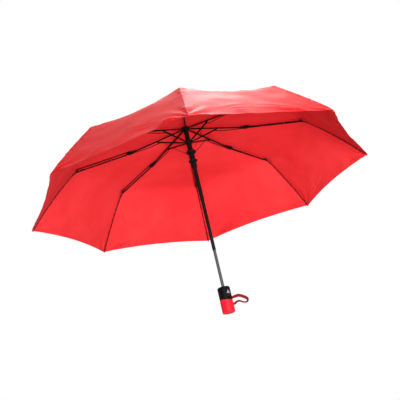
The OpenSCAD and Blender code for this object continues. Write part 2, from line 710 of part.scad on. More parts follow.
module wrist_strap() {
    n = len(strap_path);
    half_w = strap_w / 2;
    half_t = strap_t / 2;
    function spot(k) = [for (i = [0:2]) strap_path[k][i]];
    function dir(k) = unit(spot(min(k + 1, n - 1)) - spot(max(k - 1, 0)));
    function unit(v) = v / norm(v);
    // the ribbon's edges lie in the plane of its loop, then turn about the path
    function flat(k) = unit(cross([0, 1, 0], dir(k)));
    function across(k) = flat(k) * cos(strap_path[k][3]) + cross(dir(k), flat(k)) * sin(strap_path[k][3]);
    function face(k) = cross(dir(k), across(k));
    points = [for (k = [0:n - 1], c = [[-1, -1], [1, -1], [1, 1], [-1, 1]])
        spot(k) + c[0] * half_w * across(k) + c[1] * half_t * face(k)];
    walls = [for (k = [0:n - 2], c = [0:3], half = [0, 1])
        let (a = 4 * k + c, b = 4 * k + (c + 1) % 4) half == 0 ? [a, a + 4, b + 4] : [a, b + 4, b]];
    ends = [[0, 1, 2], [0, 2, 3], [4 * n - 1, 4 * n - 2, 4 * n - 3], [4 * n - 1, 4 * n - 3, 4 * n - 4]];
    color([0.55, 0.03, 0.1]) polyhedron(points, concat(walls, ends), convexity = 4);
}

// The cloth over one rib, as [radius, height], from the cap to the tip
cloth_line = let (
        a = along(crown_p, top_a, [top_len - 8, joint_1_rise + cloth_rise_1 - 1]),
        b = along(joint_1_p, mid_a, [1, cloth_rise_1 - 1.2]),
        c = along(joint_1_p, mid_a, [mid_len - outer_lever - 1, cloth_rise_2]),
        d = along(joint_2_p, outer_a, [1, outer_lever + 1]),
        steps = 6)
    concat([[top_tube_r - 0.2, crown_h + cloth_top], [ring_r, crown_h + cloth_top],
        [ring_r + 6, crown_h + cloth_top - 0.4]],
        [for (k = [1:3]) along([ring_r + 6, crown_h + cloth_top - 0.4],
            angle_of([ring_r + 6, crown_h + cloth_top], a),
            [norm(a - [ring_r + 6, crown_h + cloth_top]) * k / 4, 0])],
        [a, b], [for (k = [1:3]) b + (c - b) * k / 4], [c, d],
        [for (k = [1:steps]) let (u = k / steps)
            along(joint_2_p, outer_a, [2 + (outer_len + 1) * u,
                cloth_rise_tip + (outer_lever + 1 - cloth_rise_tip) * pow(1 - u, 3)
                    + 4 * outer_rib_bow * u * (1 - u)])]);

module canopy() {
    rows = len(cloth_line);
    per = 6;
    cols = rib_count * per;
    outer_from = rows - 7;
    function side(k) = (k % per) / per;
    function belly(k) = 4 * side(k) * (1 - side(k));
    function arm(k) = floor(k / per) * rib_step + rib_turn;
    // the hem curves inwards along the outermost run of the line
    function slid(j, k) = let (last = rows - 1, back = hem_scallop * belly(k) * (j > outer_from ?
            (j - outer_from) / (last - outer_from) : 0),
        d = cloth_line[j] - cloth_line[max(j - 1, 0)]) cloth_line[j] - (j == 0 ? [0, 0] : d / norm(d) * back);
    function normal(j) = let (d = cloth_line[min(j + 1, rows - 1)] - cloth_line[max(j - 1, 0)])
        [-d[1], d[0]] / norm(d);
    function place(p, k) = let (a0 = arm(k), a1 = arm(k) + rib_step, u = side(k),
            flat = [p[0] * ((1 - u) * cos(a0) + u * cos(a1)), p[0] * ((1 - u) * sin(a0) + u * sin(a1))])
        [flat[0], flat[1], p[1]];
    function sunk(j, k) = let (q = slid(j, k), share = min(1, max(0, (q[0] - ring_r) / 120)))
        q - normal(j) * panel_hollow * belly(k) * share;
    points = [for (layer = [0, 1], j = [0:rows - 1], k = [0:cols - 1])
        j < 2 ? let (a = arm(k) + rib_step * side(k), r = cloth_line[j][0])
                [r * cos(a), r * sin(a), cloth_line[j][1] - layer * cloth_t]
            : place(sunk(j, k) - layer * cloth_t * normal(j), k)];
    function id(layer, j, k) = (layer * rows + j) * cols + k % cols;
    skin = [for (j = [0:rows - 2], k = [0:cols - 1], half = [0, 1]) half == 0
        ? [id(0, j, k), id(0, j + 1, k + 1), id(0, j + 1, k)]
        : [id(0, j, k), id(0, j, k + 1), id(0, j + 1, k + 1)]];
    lining = [for (j = [0:rows - 2], k = [0:cols - 1], half = [0, 1]) half == 0
        ? [id(1, j, k), id(1, j + 1, k), id(1, j + 1, k + 1)]
        : [id(1, j, k), id(1, j + 1, k + 1), id(1, j, k + 1)]];
    edges = [for (k = [0:cols - 1], e = [0, 1], half = [0, 1]) let (j = e * (rows - 1))
        e == 1
            ? (half == 0 ? [id(0, j, k), id(0, j, k + 1), id(1, j, k + 1)]
                : [id(0, j, k), id(1, j, k + 1), id(1, j, k)])
            : (half == 0 ? [id(0, j, k), id(1, j, k + 1), id(0, j, k + 1)]
                : [id(0, j, k), id(1, j, k), id(1, j, k + 1)])];
    color([0.85, 0.12, 0.15]) polyhedron(points, concat(skin, lining, edges), convexity = 6);
}

crown();
cap();
canopy();
runner();
top_tube();
middle_tube();
bottom_tube();
shaft_spring();
handle_shell();
grip();
push_button();
wrist_strap();
for (i = [1:rib_count]) {
    top_rib(i);
    stretcher(i);
    link_rod(i);
    mid_rib(i);
    control_wire(i);
    outer_rib(i);
}
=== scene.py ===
import math
import bpy
import numpy as np
from mathutils import Matrix, Vector, noise


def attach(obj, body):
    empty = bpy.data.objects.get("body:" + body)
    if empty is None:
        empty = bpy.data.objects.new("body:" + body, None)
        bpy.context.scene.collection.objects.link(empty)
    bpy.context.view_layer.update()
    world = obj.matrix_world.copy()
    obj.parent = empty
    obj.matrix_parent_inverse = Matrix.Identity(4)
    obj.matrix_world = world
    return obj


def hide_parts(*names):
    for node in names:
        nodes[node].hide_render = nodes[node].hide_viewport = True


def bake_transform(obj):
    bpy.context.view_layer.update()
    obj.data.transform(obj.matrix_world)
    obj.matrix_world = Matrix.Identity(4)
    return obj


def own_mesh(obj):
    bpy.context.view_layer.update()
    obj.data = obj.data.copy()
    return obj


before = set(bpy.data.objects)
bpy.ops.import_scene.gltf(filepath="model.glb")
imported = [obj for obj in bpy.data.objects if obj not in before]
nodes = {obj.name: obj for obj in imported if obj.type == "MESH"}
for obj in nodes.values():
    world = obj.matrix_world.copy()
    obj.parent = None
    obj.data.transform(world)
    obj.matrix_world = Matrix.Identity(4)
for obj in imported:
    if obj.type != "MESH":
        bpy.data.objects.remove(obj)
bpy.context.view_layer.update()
scene = bpy.context.scene
mm = 0.001
print("frame loaded:", len(nodes), "nodes")


studio = {
    "eye": (-0.0066, -1.8862, -0.3481),
    "right": (0.97314, 0.07804, -0.21661),
    "up": (0.23024, -0.32985, 0.91553),
    "lens": 63.79,
    "sensor": 36,
    "clip": (0.05, 40),
    "floorZ": -2.0,
    "floorSize": 30.0,
    "floorPale": 0.8,        # share of the floor that stays pale to the camera, so its shadow is faint
    "floorGlow": 1.1,
    "skyLevel": 0.05,
    "lamps": [
        # name, place, aim, size, watts, colour
        ("topLamp", (0.3, 0.2, 2.6), (0, 0, 0.45), 1.0, 66, (1.0, 0.99, 0.98)),
        ("rearLamp", (0.3, 1.6, 2.2), (0, 0, 0.45), 1.0, 62, (1.0, 1.0, 1.0)),
        ("sideLamp", (1.8, 0.1, 1.9), (0, 0, 0.45), 1.0, 16, (1.0, 0.99, 0.98)),
        ("frontLamp", (0.3, -1.9, -0.15), (0, 0.2, 0.35), 0.7, 50, (1.0, 1.0, 1.0)),
        ("lowLamp", (1.1, -1.7, -0.8), (0, 0, 0.45), 1.0, 26, (1.0, 1.0, 1.0)),
    ],
}


def linked(name, data):
    made = bpy.data.objects.new(name, data)
    scene.collection.objects.link(made)
    return made


def meshObject(name, points, faces, materials, faceMaterial=None, smooth=True):
    mesh = bpy.data.meshes.new(name)
    mesh.from_pydata([tuple(p) for p in points], [], [tuple(f) for f in faces])
    for material in materials:
        mesh.materials.append(material)
    if faceMaterial is not None:
        mesh.polygons.foreach_set("material_index", np.asarray(faceMaterial, np.int32))
    if smooth:
        mesh.polygons.foreach_set("use_smooth", np.ones(len(mesh.polygons), bool))
    mesh.update()
    return linked(name, mesh)


def makeCamera():
    data = bpy.data.cameras.new("camera")
    data.lens = studio["lens"]
    data.sensor_width = studio["sensor"]
    data.clip_start, data.clip_end = studio["clip"]
    camera = linked("camera", data)
    right, up = Vector(studio["right"]), Vector(studio["up"])
    turn = Matrix((right, up, right.cross(up))).transposed()
    camera.matrix_world = Matrix.Translation(studio["eye"]) @ turn.to_4x4()
    scene.camera = camera


def makeLamps():
    for name, place, aim, size, watts, colour in studio["lamps"]:
        data = bpy.data.lights.new(name, "AREA")
        data.shape = "DISK"
        data.size, data.energy, data.color = size, watts, colour
        lamp = linked(name, data)
        lamp.location = place
        lamp.rotation_mode = "QUATERNION"
        lamp.rotation_quaternion = (Vector(aim) - Vector(place)).to_track_quat("-Z", "Y")


scene.view_settings.view_transform = "Standard"
makeCamera()
makeLamps()
print("camera and lamps placed")


class Wire:
    # one socket of a node tree, with Python's operators adding Math nodes
    def __init__(self, graph, socket):
        self.graph, self.socket = graph, socket

    def maths(self, operation, *others):
        return self.graph.node("ShaderNodeMath", {"operation": operation}, *others)

    def __add__(self, other):
        return self.maths("ADD", self, other)

    def __radd__(self, other):
        return self.maths("ADD", other, self)

    def __sub__(self, other):
        return self.maths("SUBTRACT", self, other)

    def __rsub__(self, other):
        return self.maths("SUBTRACT", other, self)

    def __mul__(self, other):
        return self.maths("MULTIPLY", self, other)

    def __rmul__(self, other):
        return self.maths("MULTIPLY", other, self)

    def sine(self):
        return self.maths("SINE", self)

    def between(self, low, high):
        return self.graph.node("ShaderNodeMapRange", {"interpolation_type": "SMOOTHSTEP", "clamp": True},
                               Value=self, **{"From Min": low, "From Max": high})


class Graph:
    def __init__(self, tree):
        self.tree = tree

    def node(self, kind, settings=None, *inOrder, out=0, **named):
        made = self.tree.nodes.new(kind)
        for key, value in (settings or {}).items():
            setattr(made, key, value)
        for key, value in list(enumerate(inOrder)) + list(named.items()):
            self.feed(made.inputs[key], value)
        return Wire(self, made.outputs[out])

    def feed(self, socket, value):
        if isinstance(value, Wire):
            self.tree.links.new(value.socket, socket)
        else:
            socket.default_value = value

    def outputs(self, kind, *labels):
        made = self.tree.nodes.new(kind)
        return [Wire(self, made.outputs[label]) for label in labels]

    def axes(self, point):
        apart = self.node("ShaderNodeSeparateXYZ", None, point).socket.node
        return Wire(self, apart.outputs[0]), Wire(self, apart.outputs[1])

    def mixed(self, share, first, second):
        made = self.tree.nodes.new("ShaderNodeMix")
        made.data_type = "RGBA"
        self.feed(made.inputs[0], share)
        self.feed(made.inputs[6], first)
        self.feed(made.inputs[7], second)
        return Wire(self, made.outputs[2])

    def blended(self, share, first, second):
        # two shaders, the second one at the given share
        made = self.tree.nodes.new("ShaderNodeMixShader")
        for socket, value in zip(made.inputs, (share, first, second)):
            self.feed(socket, value)
        return Wire(self, made.outputs[0])

    def objectPoint(self):
        return self.node("ShaderNodeTexCoord", out=3)

    def surfacePoint(self):
        return self.node("ShaderNodeUVMap", {"uv_map": "UVMap"})

    def scaled(self, point, scale):
        return self.node("ShaderNodeMapping", None, point, Scale=scale)

    def cloudy(self, point, scale, detail=3.0, roughness=0.5):
        return self.node("ShaderNodeTexNoise", None, Vector=point, Scale=scale, Detail=detail,
                         Roughness=roughness)

    def bump(self, height, distance, strength=1.0, normal=None):
        extra = {"Normal": normal} if normal else {}
        return self.node("ShaderNodeBump", None, Strength=strength, Distance=distance, Height=height, **extra)


def colour(red, green, blue):
    # display values 0 to 255 to a linear colour
    def linear(value):
        value /= 255
        return value / 12.92 if value <= 0.04045 else ((value + 0.055) / 1.055) ** 2.4
    return (linear(red), linear(green), linear(blue), 1.0)


def newMaterial(name):
    material = bpy.data.materials.new(name)
    material.use_nodes = True
    material.node_tree.nodes.clear()
    return material, Graph(material.node_tree)


def closed(graph, material, shader):
    output = graph.tree.nodes.new("ShaderNodeOutputMaterial")
    graph.feed(output.inputs["Surface"], shader)
    return material


def principled(graph, **sockets):
    named = {label.replace("_", " "): value for label, value in sockets.items()}
    return graph.node("ShaderNodeBsdfPrincipled", None, **named)


def moulded(name, base, roughness, grain=0.00004, grainScale=2600, fade=0.12, gloss=0.5):
    # moulded plastic: fine pebbling, faint flow marks and slightly polished patches
    material, graph = newMaterial(name)
    point = graph.objectPoint()
    fine = graph.cloudy(point, grainScale, 2)
    broad = graph.cloudy(point, 45, 4, 0.6)
    lighter = tuple(min(1, c * 1.6 + 0.006) for c in base[:3]) + (1.0,)
    tint = graph.mixed(broad.between(0.42, 0.78) * fade * 4, base, lighter)
    rough = roughness + (broad - 0.5) * 0.22
    return closed(graph, material, principled(
        graph, Base_Color=tint, Roughness=rough, Specular_IOR_Level=gloss,
        Normal=graph.bump(fine, grain, 0.6)))


def lacquered(name, base, roughness, metallic=0.0, worn=0.25, gloss=0.5):
    # painted steel: thin lacquer with fine scratches and a few rubbed spots
    material, graph = newMaterial(name)
    point = graph.objectPoint()
    scratches = graph.cloudy(graph.scaled(point, (900, 900, 60)), 1.0, 3, 0.7)
    broad = graph.cloudy(point, 70, 4, 0.65)
    rubbed = graph.cloudy(point, 260, 5, 0.7).between(0.64, 0.74) * worn
    bare = tuple(min(1, c * 1.9 + 0.05) for c in base[:3]) + (1.0,)
    tint = graph.mixed(rubbed, base, bare)
    rough = roughness + (broad - 0.5) * 0.25 + (scratches - 0.5) * 0.12
    return closed(graph, material, principled(
        graph, Base_Color=tint, Roughness=rough, Metallic=metallic + rubbed * 0.5, Specular_IOR_Level=gloss,
        Normal=graph.bump(scratches, 0.00002, 0.5)))


clothFinish = {
    # one fabric in two colours: painted shade makes the outer side darker, painted light makes the inner side
    # paler and pinker
    "outer": colour(208, 24, 30),
    "outerPale": colour(220, 32, 37),
    "inner": colour(227, 58, 63),
    "innerPale": colour(235, 72, 76),
    "glow": colour(236, 32, 44),
    # painted shade colour for the seams
    "seam": colour(176, 20, 32),
    "seamShadeHalf": 0.0019,
    "threadPitch": 0.00042,
    "through": 0.3,
}


def clothMaterial(name, base, pale, sheen, gloss, roughness):
    # plain-weave polyester: crossed threads, slub variation, soft sheen, light coming through and painted
    # shade along the seams
    material, graph = newMaterial(name)
    threads = graph.surfacePoint()
    across, lengthwise = graph.axes(threads)
    step = 2 * math.pi / clothFinish["threadPitch"]
    weave = (across * step).sine() * (lengthwise * step).sine()
    slubs = graph.cloudy(graph.scaled(threads, (2200, 90, 1)), 1.0, 2)
    slubsAcross = graph.cloudy(graph.scaled(threads, (90, 2200, 1)), 1.0, 2)
    broad = graph.cloudy(graph.objectPoint(), 9, 4, 0.55)
    crease = graph.cloudy(graph.scaled(threads, (26, 60, 1)), 1.0, 4, 0.6)
    share = broad.between(0.35, 0.7) * 0.6 + (slubs + slubsAcross - 1.0) * 0.35 + weave * 0.06
    # painted shade along the felled seam, for the doubled cloth letting less light through and its puckers
    # shading it
    half = clothFinish["seamShadeHalf"]
    seam = across.maths("ABSOLUTE", across).between(half * 1.25, half * 0.8)
    tint = graph.mixed(seam * 0.75, graph.mixed(share, base, pale), clothFinish["seam"])
    relief = weave * 0.5 + (slubs + slubsAcross) * 0.5
    normal = graph.bump(relief, 0.00006, 0.55, graph.bump(crease, 0.0011, 0.5))
    body = principled(graph, Base_Color=tint, Roughness=roughness + (slubs - 0.5) * 0.1, Sheen_Weight=sheen,
                      Sheen_Roughness=0.35, Sheen_Tint=(1.0, 0.62, 0.6, 1.0), Specular_IOR_Level=gloss,
                      Normal=normal)
    glow = graph.node("ShaderNodeBsdfTranslucent", None, Color=clothFinish["glow"], Normal=normal)
    return closed(graph, material, graph.blended(clothFinish["through"], body, glow))


def webbingMaterial(name, base, pale):
    # narrow woven tape: ribs across, chevrons along, tighter edges
    material, graph = newMaterial(name)
    across, lengthwise = graph.axes(graph.surfacePoint())
    chevron = (lengthwise * 5200 + (across * 1400).sine() * 2.2).sine()
    cords = (across * 9500).sine()
    dust = graph.cloudy(graph.objectPoint(), 420, 4, 0.6)
    tint = graph.mixed((chevron * 0.5 + 0.5) * 0.55 + dust * 0.35, base, pale)
    normal = graph.bump(chevron * 0.6 + cords * 0.4, 0.00018, 0.8)
    return closed(graph, material, principled(
        graph, Base_Color=tint, Roughness=0.78 + (dust - 0.5) * 0.2, Sheen_Weight=0.1, Sheen_Roughness=0.4,
        Specular_IOR_Level=0.2, Normal=normal))


def rubberMaterial(name, base, pale):
    # soft-touch rubber: velvety, with a fine even grain
    material, graph = newMaterial(name)
    point = graph.objectPoint()
    grain = graph.node("ShaderNodeTexVoronoi", None, Vector=point, Scale=1500.0)
    broad = graph.cloudy(point, 60, 4, 0.6)
    tint = graph.mixed(broad.between(0.35, 0.7) * 0.5, base, pale)
    return closed(graph, material, principled(
        graph, Base_Color=tint, Roughness=0.56 + (broad - 0.5) * 0.2, Specular_IOR_Level=0.2,
        Sheen_Weight=0.05, Sheen_Roughness=0.5, Normal=graph.bump(grain, 0.00006, 0.5)))


def floorMaterial():
    material, graph = newMaterial("floorPaint")
    broad = graph.cloudy(graph.objectPoint(), 3, 3)
    tint = graph.mixed(broad * 0.3, (0.7, 0.7, 0.7, 1), (0.74, 0.74, 0.74, 1))
    body = principled(graph, Base_Color=tint, Roughness=0.85)
    pale = graph.node("ShaderNodeEmission", None, Color=(1, 1, 1, 1), Strength=studio["floorGlow"])
    seen, = graph.outputs("ShaderNodeLightPath", "Is Camera Ray")
    return closed(graph, material, graph.blended(seen * studio["floorPale"], body, pale))


finishes = {
    # the same cloth twice, the outer side with painted shade and the inner side with painted light
    "clothOutShaded": clothMaterial("clothOutShaded", clothFinish["outer"], clothFinish["outerPale"],
                              sheen=0.03, gloss=0.14, roughness=0.5),
    "clothInLit": clothMaterial("clothInLit", clothFinish["inner"], clothFinish["innerPale"],
                             sheen=0.01, gloss=0.03, roughness=0.6),
    "thread": lacquered("redThread", colour(205, 36, 44), 0.7, worn=0.1),
    "nylon": moulded("blackNylon", colour(13, 12, 13), 0.5, gloss=0.1),
    "blackSteel": lacquered("blackSteel", colour(13, 12, 13), 0.4, worn=0.12, gloss=0.12),
    "blackTube": lacquered("blackTube", colour(16, 15, 16), 0.34, worn=0.1, gloss=0.14),
    "greyTube": lacquered("greyTube", colour(78, 77, 81), 0.3, metallic=0.6, worn=0.2, gloss=0.4),
    "plainSteel": lacquered("plainSteel", colour(150, 150, 155), 0.35, metallic=0.9, worn=0.3),
    "shell": moulded("shellPlastic", colour(10, 8, 8), 0.45, grain=0.00003, grainScale=2200, gloss=0.05),
    "grip": rubberMaterial("gripRubber", colour(226, 16, 36), colour(234, 26, 46)),
    "button": moulded("buttonPlastic", colour(18, 17, 18), 0.32, grain=0.00002, grainScale=2800,
                      fade=0.06, gloss=0.16),
    "mark": moulded("greyMark", colour(140, 138, 138), 0.5, grain=0.00002, grainScale=2000, fade=0.05),
    "strap": webbingMaterial("strapWebbing", colour(112, 3, 18), colour(150, 8, 28)),
}


def makeStage():
    half, z = studio["floorSize"] / 2, studio["floorZ"]
    corners = [(-half, -half, z), (half, -half, z), (half, half, z), (-half, half, z)]
    meshObject("floor", corners, [(0, 1, 2, 3)], [floorMaterial()], smooth=False)
    world = bpy.data.worlds.new("sky")
    scene.world = world
    world.use_nodes = True
    world.node_tree.nodes.clear()
    graph = Graph(world.node_tree)
    # white wherever it is seen, mirrored or looked at through something, and dim as a light
    seen, glossy, passing = graph.outputs("ShaderNodeLightPath", "Is Camera Ray", "Is Glossy Ray",
                                          "Is Transmission Ray")
    white = seen.maths("MAXIMUM", seen, glossy.maths("MAXIMUM", glossy, passing))
    dim, full = (graph.node("ShaderNodeBackground", None, Color=(1, 1, 1, 1), Strength=strength)
                 for strength in (studio["skyLevel"], 1.0))
    output = graph.tree.nodes.new("ShaderNodeOutputWorld")
    graph.feed(output.inputs["Surface"], graph.blended(white, dim, full))


makeStage()
print("finishes and floor made")


arms = {
    "count": 8,
    "turn": 1.3,
    # radius and height of each pivot in mm
    "crown": (9, 556),
    "foot": (9, 514),
    "lever": (88, 535),
    "joint1": (180, 520.5),
    "joint2": (338, 499),
    "tip": (485, 353),
    "joint1Rise": 2.6,
    "outerLever": 8.154,
    "outerBow": 5.0,
}
armNumbers = range(1, arms["count"] + 1)
armStep = math.radians(360 / arms["count"])
halfStep = armStep / 2


def armAngle(arm):
    return math.radians(90 - (arm - 3) * 360 / arms["count"] + arms["turn"])


def outward(arm):
    return np.array((math.cos(armAngle(arm)), math.sin(armAngle(arm)), 0.0))


def sideways(arm):
    return np.array((-math.sin(armAngle(arm)), math.cos(armAngle(arm)), 0.0))


def inArm(arm, points):
    # [radius, side, height] in mm to metres in the frame
    points = np.asarray(points, float) * mm
    out, side = outward(arm), sideways(arm)
    return points[..., :1] * out + points[..., 1:2] * side + points[..., 2:] * np.array((0, 0, 1.0))


def angleOf(a, b):
    return math.atan2(b[1] - a[1], b[0] - a[0])


def along(start, angle, step):
    c, s = math.cos(angle), math.sin(angle)
    return (start[0] + step[0] * c - step[1] * s, start[1] + step[0] * s + step[1] * c)


def armAngles():
    crown, joint = arms["crown"], arms["joint1"]
    reach = math.dist(crown, joint)
    topAngle = angleOf(crown, joint) - math.asin(arms["joint1Rise"] / reach)
    topLength = math.sqrt(reach ** 2 - arms["joint1Rise"] ** 2)
    return {
        "topAngle": topAngle,
        "topLength": topLength,
        "midAngle": angleOf(arms["joint1"], arms["joint2"]),
        "midLength": math.dist(arms["joint1"], arms["joint2"]),
        "outerAngle": angleOf(arms["joint2"], arms["tip"]),
        "outerLength": math.dist(arms["joint2"], arms["tip"]),
        "stretcherAngle": angleOf(arms["foot"], arms["lever"]),
    }


arms.update(armAngles())


def setUv(made, uv):
    # uv holds one pair for each vertex
    mesh = made.data
    layer = mesh.uv_layers.new(name="UVMap")
    index = np.zeros(len(mesh.loops), np.int32)
    mesh.loops.foreach_get("vertex_index", index)
    layer.data.foreach_set("uv", np.asarray(uv, np.float32)[index].ravel())


def smoothPath(points, perSpan):
    # Catmull-Rom through the points
    p = np.asarray(points, float)
    q = np.vstack([2 * p[0] - p[1], p, 2 * p[-1] - p[-2]])
    out = []
    for k in range(1, len(q) - 2):
        for t in np.linspace(0, 1, perSpan, endpoint=False):
            a, b, c, d = q[k - 1], q[k], q[k + 1], q[k + 2]
            out.append(0.5 * (2 * b + (c - a) * t + (2 * a - 5 * b + 4 * c - d) * t ** 2
                              + (3 * b - a - 3 * c + d) * t ** 3))
    out.append(p[-1])
    return np.array(out)


def unit(vectors):
    return vectors / np.linalg.norm(vectors, axis=-1)[..., None]


def sweptMesh(sections):
    # sections holds one ring of points for each step of a path; the ends are closed
    count, sides = len(sections), len(sections[0])
    points = [tuple(p) for ring in sections for p in ring]
    faces = []
    for k in range(0, (count - 1) * sides, sides):
        for j in range(sides):
            n = (j + 1) % sides
            faces.append((k + j, k + n, k + sides + n, k + sides + j))
    faces.append(tuple(range(sides - 1, -1, -1)))
    faces.append(tuple((count - 1) * sides + j for j in range(sides)))
    return points, faces


def tubeAlong(path, radius, sides):
    path = np.asarray(path, float)
    ahead = unit(np.gradient(path, axis=0))
    side = np.cross(ahead[0], (0.3, 0.1, 1.0))
    sections = []
    for place, direction in zip(path, ahead):
        side = unit(side - direction * (side @ direction))
        other = np.cross(direction, side)
        sections.append([place + radius * (math.cos(a) * side + math.sin(a) * other)
                         for a in np.linspace(0, 2 * math.pi, sides, endpoint=False)])
    return sweptMesh(sections)


def newTree(name, **inputs):
    # a tree with one geometry in and out, and named inputs; the wires of all its inputs
    tree = bpy.data.node_groups.new(name, "GeometryNodeTree")
    tree.interface.new_socket("Geometry", in_out="INPUT", socket_type="NodeSocketGeometry")
    for label, kind in inputs.items():
        tree.interface.new_socket(label, in_out="INPUT", socket_type="NodeSocket" + kind)
    tree.interface.new_socket("Geometry", in_out="OUTPUT", socket_type="NodeSocketGeometry")
    graph = Graph(tree)
    given = graph.outputs("NodeGroupInput", "Geometry", *inputs)
    return tree, graph, dict(zip(["Geometry", *inputs], given))


def closeTree(tree, graph, geometry, finish):
    real = graph.node("GeometryNodeRealizeInstances", None, geometry)
    output = tree.nodes.new("NodeGroupOutput")
    graph.feed(output.inputs[0], graph.node("GeometryNodeSetMaterial", None, real, Material=finish))
    return tree


def pointVector(graph, name):
    return graph.node("GeometryNodeInputNamedAttribute", {"data_type": "FLOAT_VECTOR"}, Name=name)


def turnedTo(graph, axis, pivot, vector, **before):
    return graph.node("FunctionNodeAlignRotationToVector", {"axis": axis, "pivot_axis": pivot},
                      Vector=vector, **before)


def stitchTree():
    # thread stitches that follow a line of points; "facing" on the points says which way is up
    tree, graph, given = newTree("stitchRow", Pitch="Float", Length="Float", Width="Float", Height="Float",
                                 Thread="Material")
    curve = graph.node("GeometryNodeMeshToCurve", None, given["Geometry"])
    resampled = graph.node("GeometryNodeResampleCurve", {"mode": "LENGTH"}, Curve=curve,
                           Length=given["Pitch"])
    ahead = turnedTo(graph, "X", "AUTO", graph.node("GeometryNodeInputTangent"))
    upright = turnedTo(graph, "Z", "X", pointVector(graph, "facing"), Rotation=ahead)
    ball = graph.node("GeometryNodeMeshIcoSphere", None, Radius=0.5, Subdivisions=1)
    size = graph.node("ShaderNodeCombineXYZ", None, given["Length"], given["Width"], given["Height"])
    placed = graph.node("GeometryNodeInstanceOnPoints", None, Points=resampled, Instance=ball,
                        Rotation=upright, Scale=size)
    return closeTree(tree, graph, placed, given["Thread"])


def scatterTree():
    # one shape on every point, its Z axis along "facing" and its X axis along "heading"
    tree, graph, given = newTree("scatter", Shape="Object", Size="Float", Finish="Material")
    upright = turnedTo(graph, "Z", "AUTO", pointVector(graph, "facing"))
    ahead = turnedTo(graph, "X", "Z", pointVector(graph, "heading"), Rotation=upright)
    info = tree.nodes.new("GeometryNodeObjectInfo")
    graph.feed(info.inputs["Object"], given["Shape"])
    size = graph.node("ShaderNodeCombineXYZ", None, *[given["Size"]] * 3)
    placed = graph.node("GeometryNodeInstanceOnPoints", None, Points=given["Geometry"],
                        Instance=Wire(graph, info.outputs["Geometry"]), Rotation=ahead, Scale=size)
    return closeTree(tree, graph, placed, given["Finish"])


def springTree():
    # a coil spring about the Z axis, from its foot upwards
    tree, graph, given = newTree("coilSpring", Turns="Float", Radius="Float", Height="Float", Wire="Float",
                                 Foot="Float", Finish="Material")
    radii = {f"{end} Radius": given["Radius"] for end in ("Start", "End")}
    coil = graph.node("GeometryNodeCurveSpiral", None, Resolution=14, Rotations=given["Turns"],
                      Height=given["Height"], **radii)
    ring = graph.node("GeometryNodeCurvePrimitiveCircle", None, Resolution=6, Radius=given["Wire"])
    solid = graph.node("GeometryNodeCurveToMesh", None, coil, **{"Profile Curve": ring, "Fill Caps": True})
    foot = graph.node("ShaderNodeCombineXYZ", None, 0.0, 0.0, given["Foot"])
    lifted = graph.node("GeometryNodeTransform", None, solid, Translation=foot)
    return closeTree(tree, graph, lifted, given["Finish"])


trees = {"stitch": stitchTree(), "scatter": scatterTree(), "spring": springTree()}


def grown(name, tree, values, points=((0, 0, 0),), edges=(), vectors=None):
    # runs a tree on a small mesh of points and keeps the result as a plain mesh
    seed = bpy.data.meshes.new(name + "Seed")
    seed.from_pydata([tuple(p) for p in points], [tuple(e) for e in edges], [])
    for label, data in (vectors or {}).items():
        attribute = seed.attributes.new(label, "FLOAT_VECTOR", "POINT")
        attribute.data.foreach_set("vector", np.asarray(data, np.float32).ravel())
    source = linked(name + "Seed", seed)
    modifier = source.modifiers.new("grow", "NODES")
    modifier.node_group = tree
    for item in tree.interface.items_tree:
        if item.in_out == "INPUT" and item.name in values:
            modifier[item.identifier] = values[item.name]
    graph = bpy.context.evaluated_depsgraph_get()
    mesh = bpy.data.meshes.new_from_object(source.evaluated_get(graph))
    mesh.name = name
    bpy.data.objects.remove(source)
    return linked(name, mesh)


canopy = {
    # mm; the rises are the cloth's height over the ribs' pivots
    "rise1": 6.4,
    "rise2": 9.6,
    "riseTip": 3.2,
    "top": 5.6,
    "ringRadius": 12.5,
    "hub": 5.4,
    "collar": 20.0,
    "collarBlend": ((12.6, 0, 561), (19.0, 0, 561)),
    "lineStep": 0.25,
    "firmBend": 3.5,          # rounding of the line on a rib
    "softBend": 27.0,         # and between two ribs
    "softFrom": 30,
    "softOver": 60,
    "jointLift": {"joint1": 0.25, "joint2": 0.9},
    "liftReach": 9,
    "scallop": 12.0,
    "hollow": 5.0,
    "hollowOver": 120,
    "thick": 0.4,
    "rowStep": 2.2,
    "columns": 20,
    "columnPower": 2.2,
    "hemWidth": 9.0,
    "hemRows": [0.8, 1.4, 2.0, 3.2, 5.2, 7.6, 9.4, 10.0],
    # share of its width that a panel keeps when folded
    "keepTop": 0.15,
    "keepMid": 0.075,
    "keepOuter": 0.066,
    "keepGusset": 0.02,
    "gatherRise": 9.4,
    # least and most share of a half panel's width that is cut off along the gusset's line
    "leastCut": 0.04,
    "mostCut": 0.985,
}


def smoothed(line, spread):
    # an evenly sampled line, rounded over a spread in mm
    reach = round(spread * 14)
    weight = np.exp(-0.5 * (np.arange(-reach, reach + 1) * canopy["lineStep"] / spread) ** 2)
    weight /= weight.sum()
    padded = np.vstack([2 * line[0] - line[reach:0:-1], line, 2 * line[-1] - line[-2:-reach - 2:-1]])
    return np.stack([np.convolve(padded[:, k], weight, "valid") for k in (0, 1)], 1)


def normalOf(line):
    step = np.gradient(line, axis=0)
    return unit(np.stack([-step[:, 1], step[:, 0]], 1))


def walkedAlong(points):
    steps = np.linalg.norm(np.diff(points, axis=0), axis=1)
    return np.concatenate([[0], np.cumsum(steps)])


def nearestRow(line, place):
    return int(np.argmin(np.linalg.norm(line - np.array(place), axis=1)))


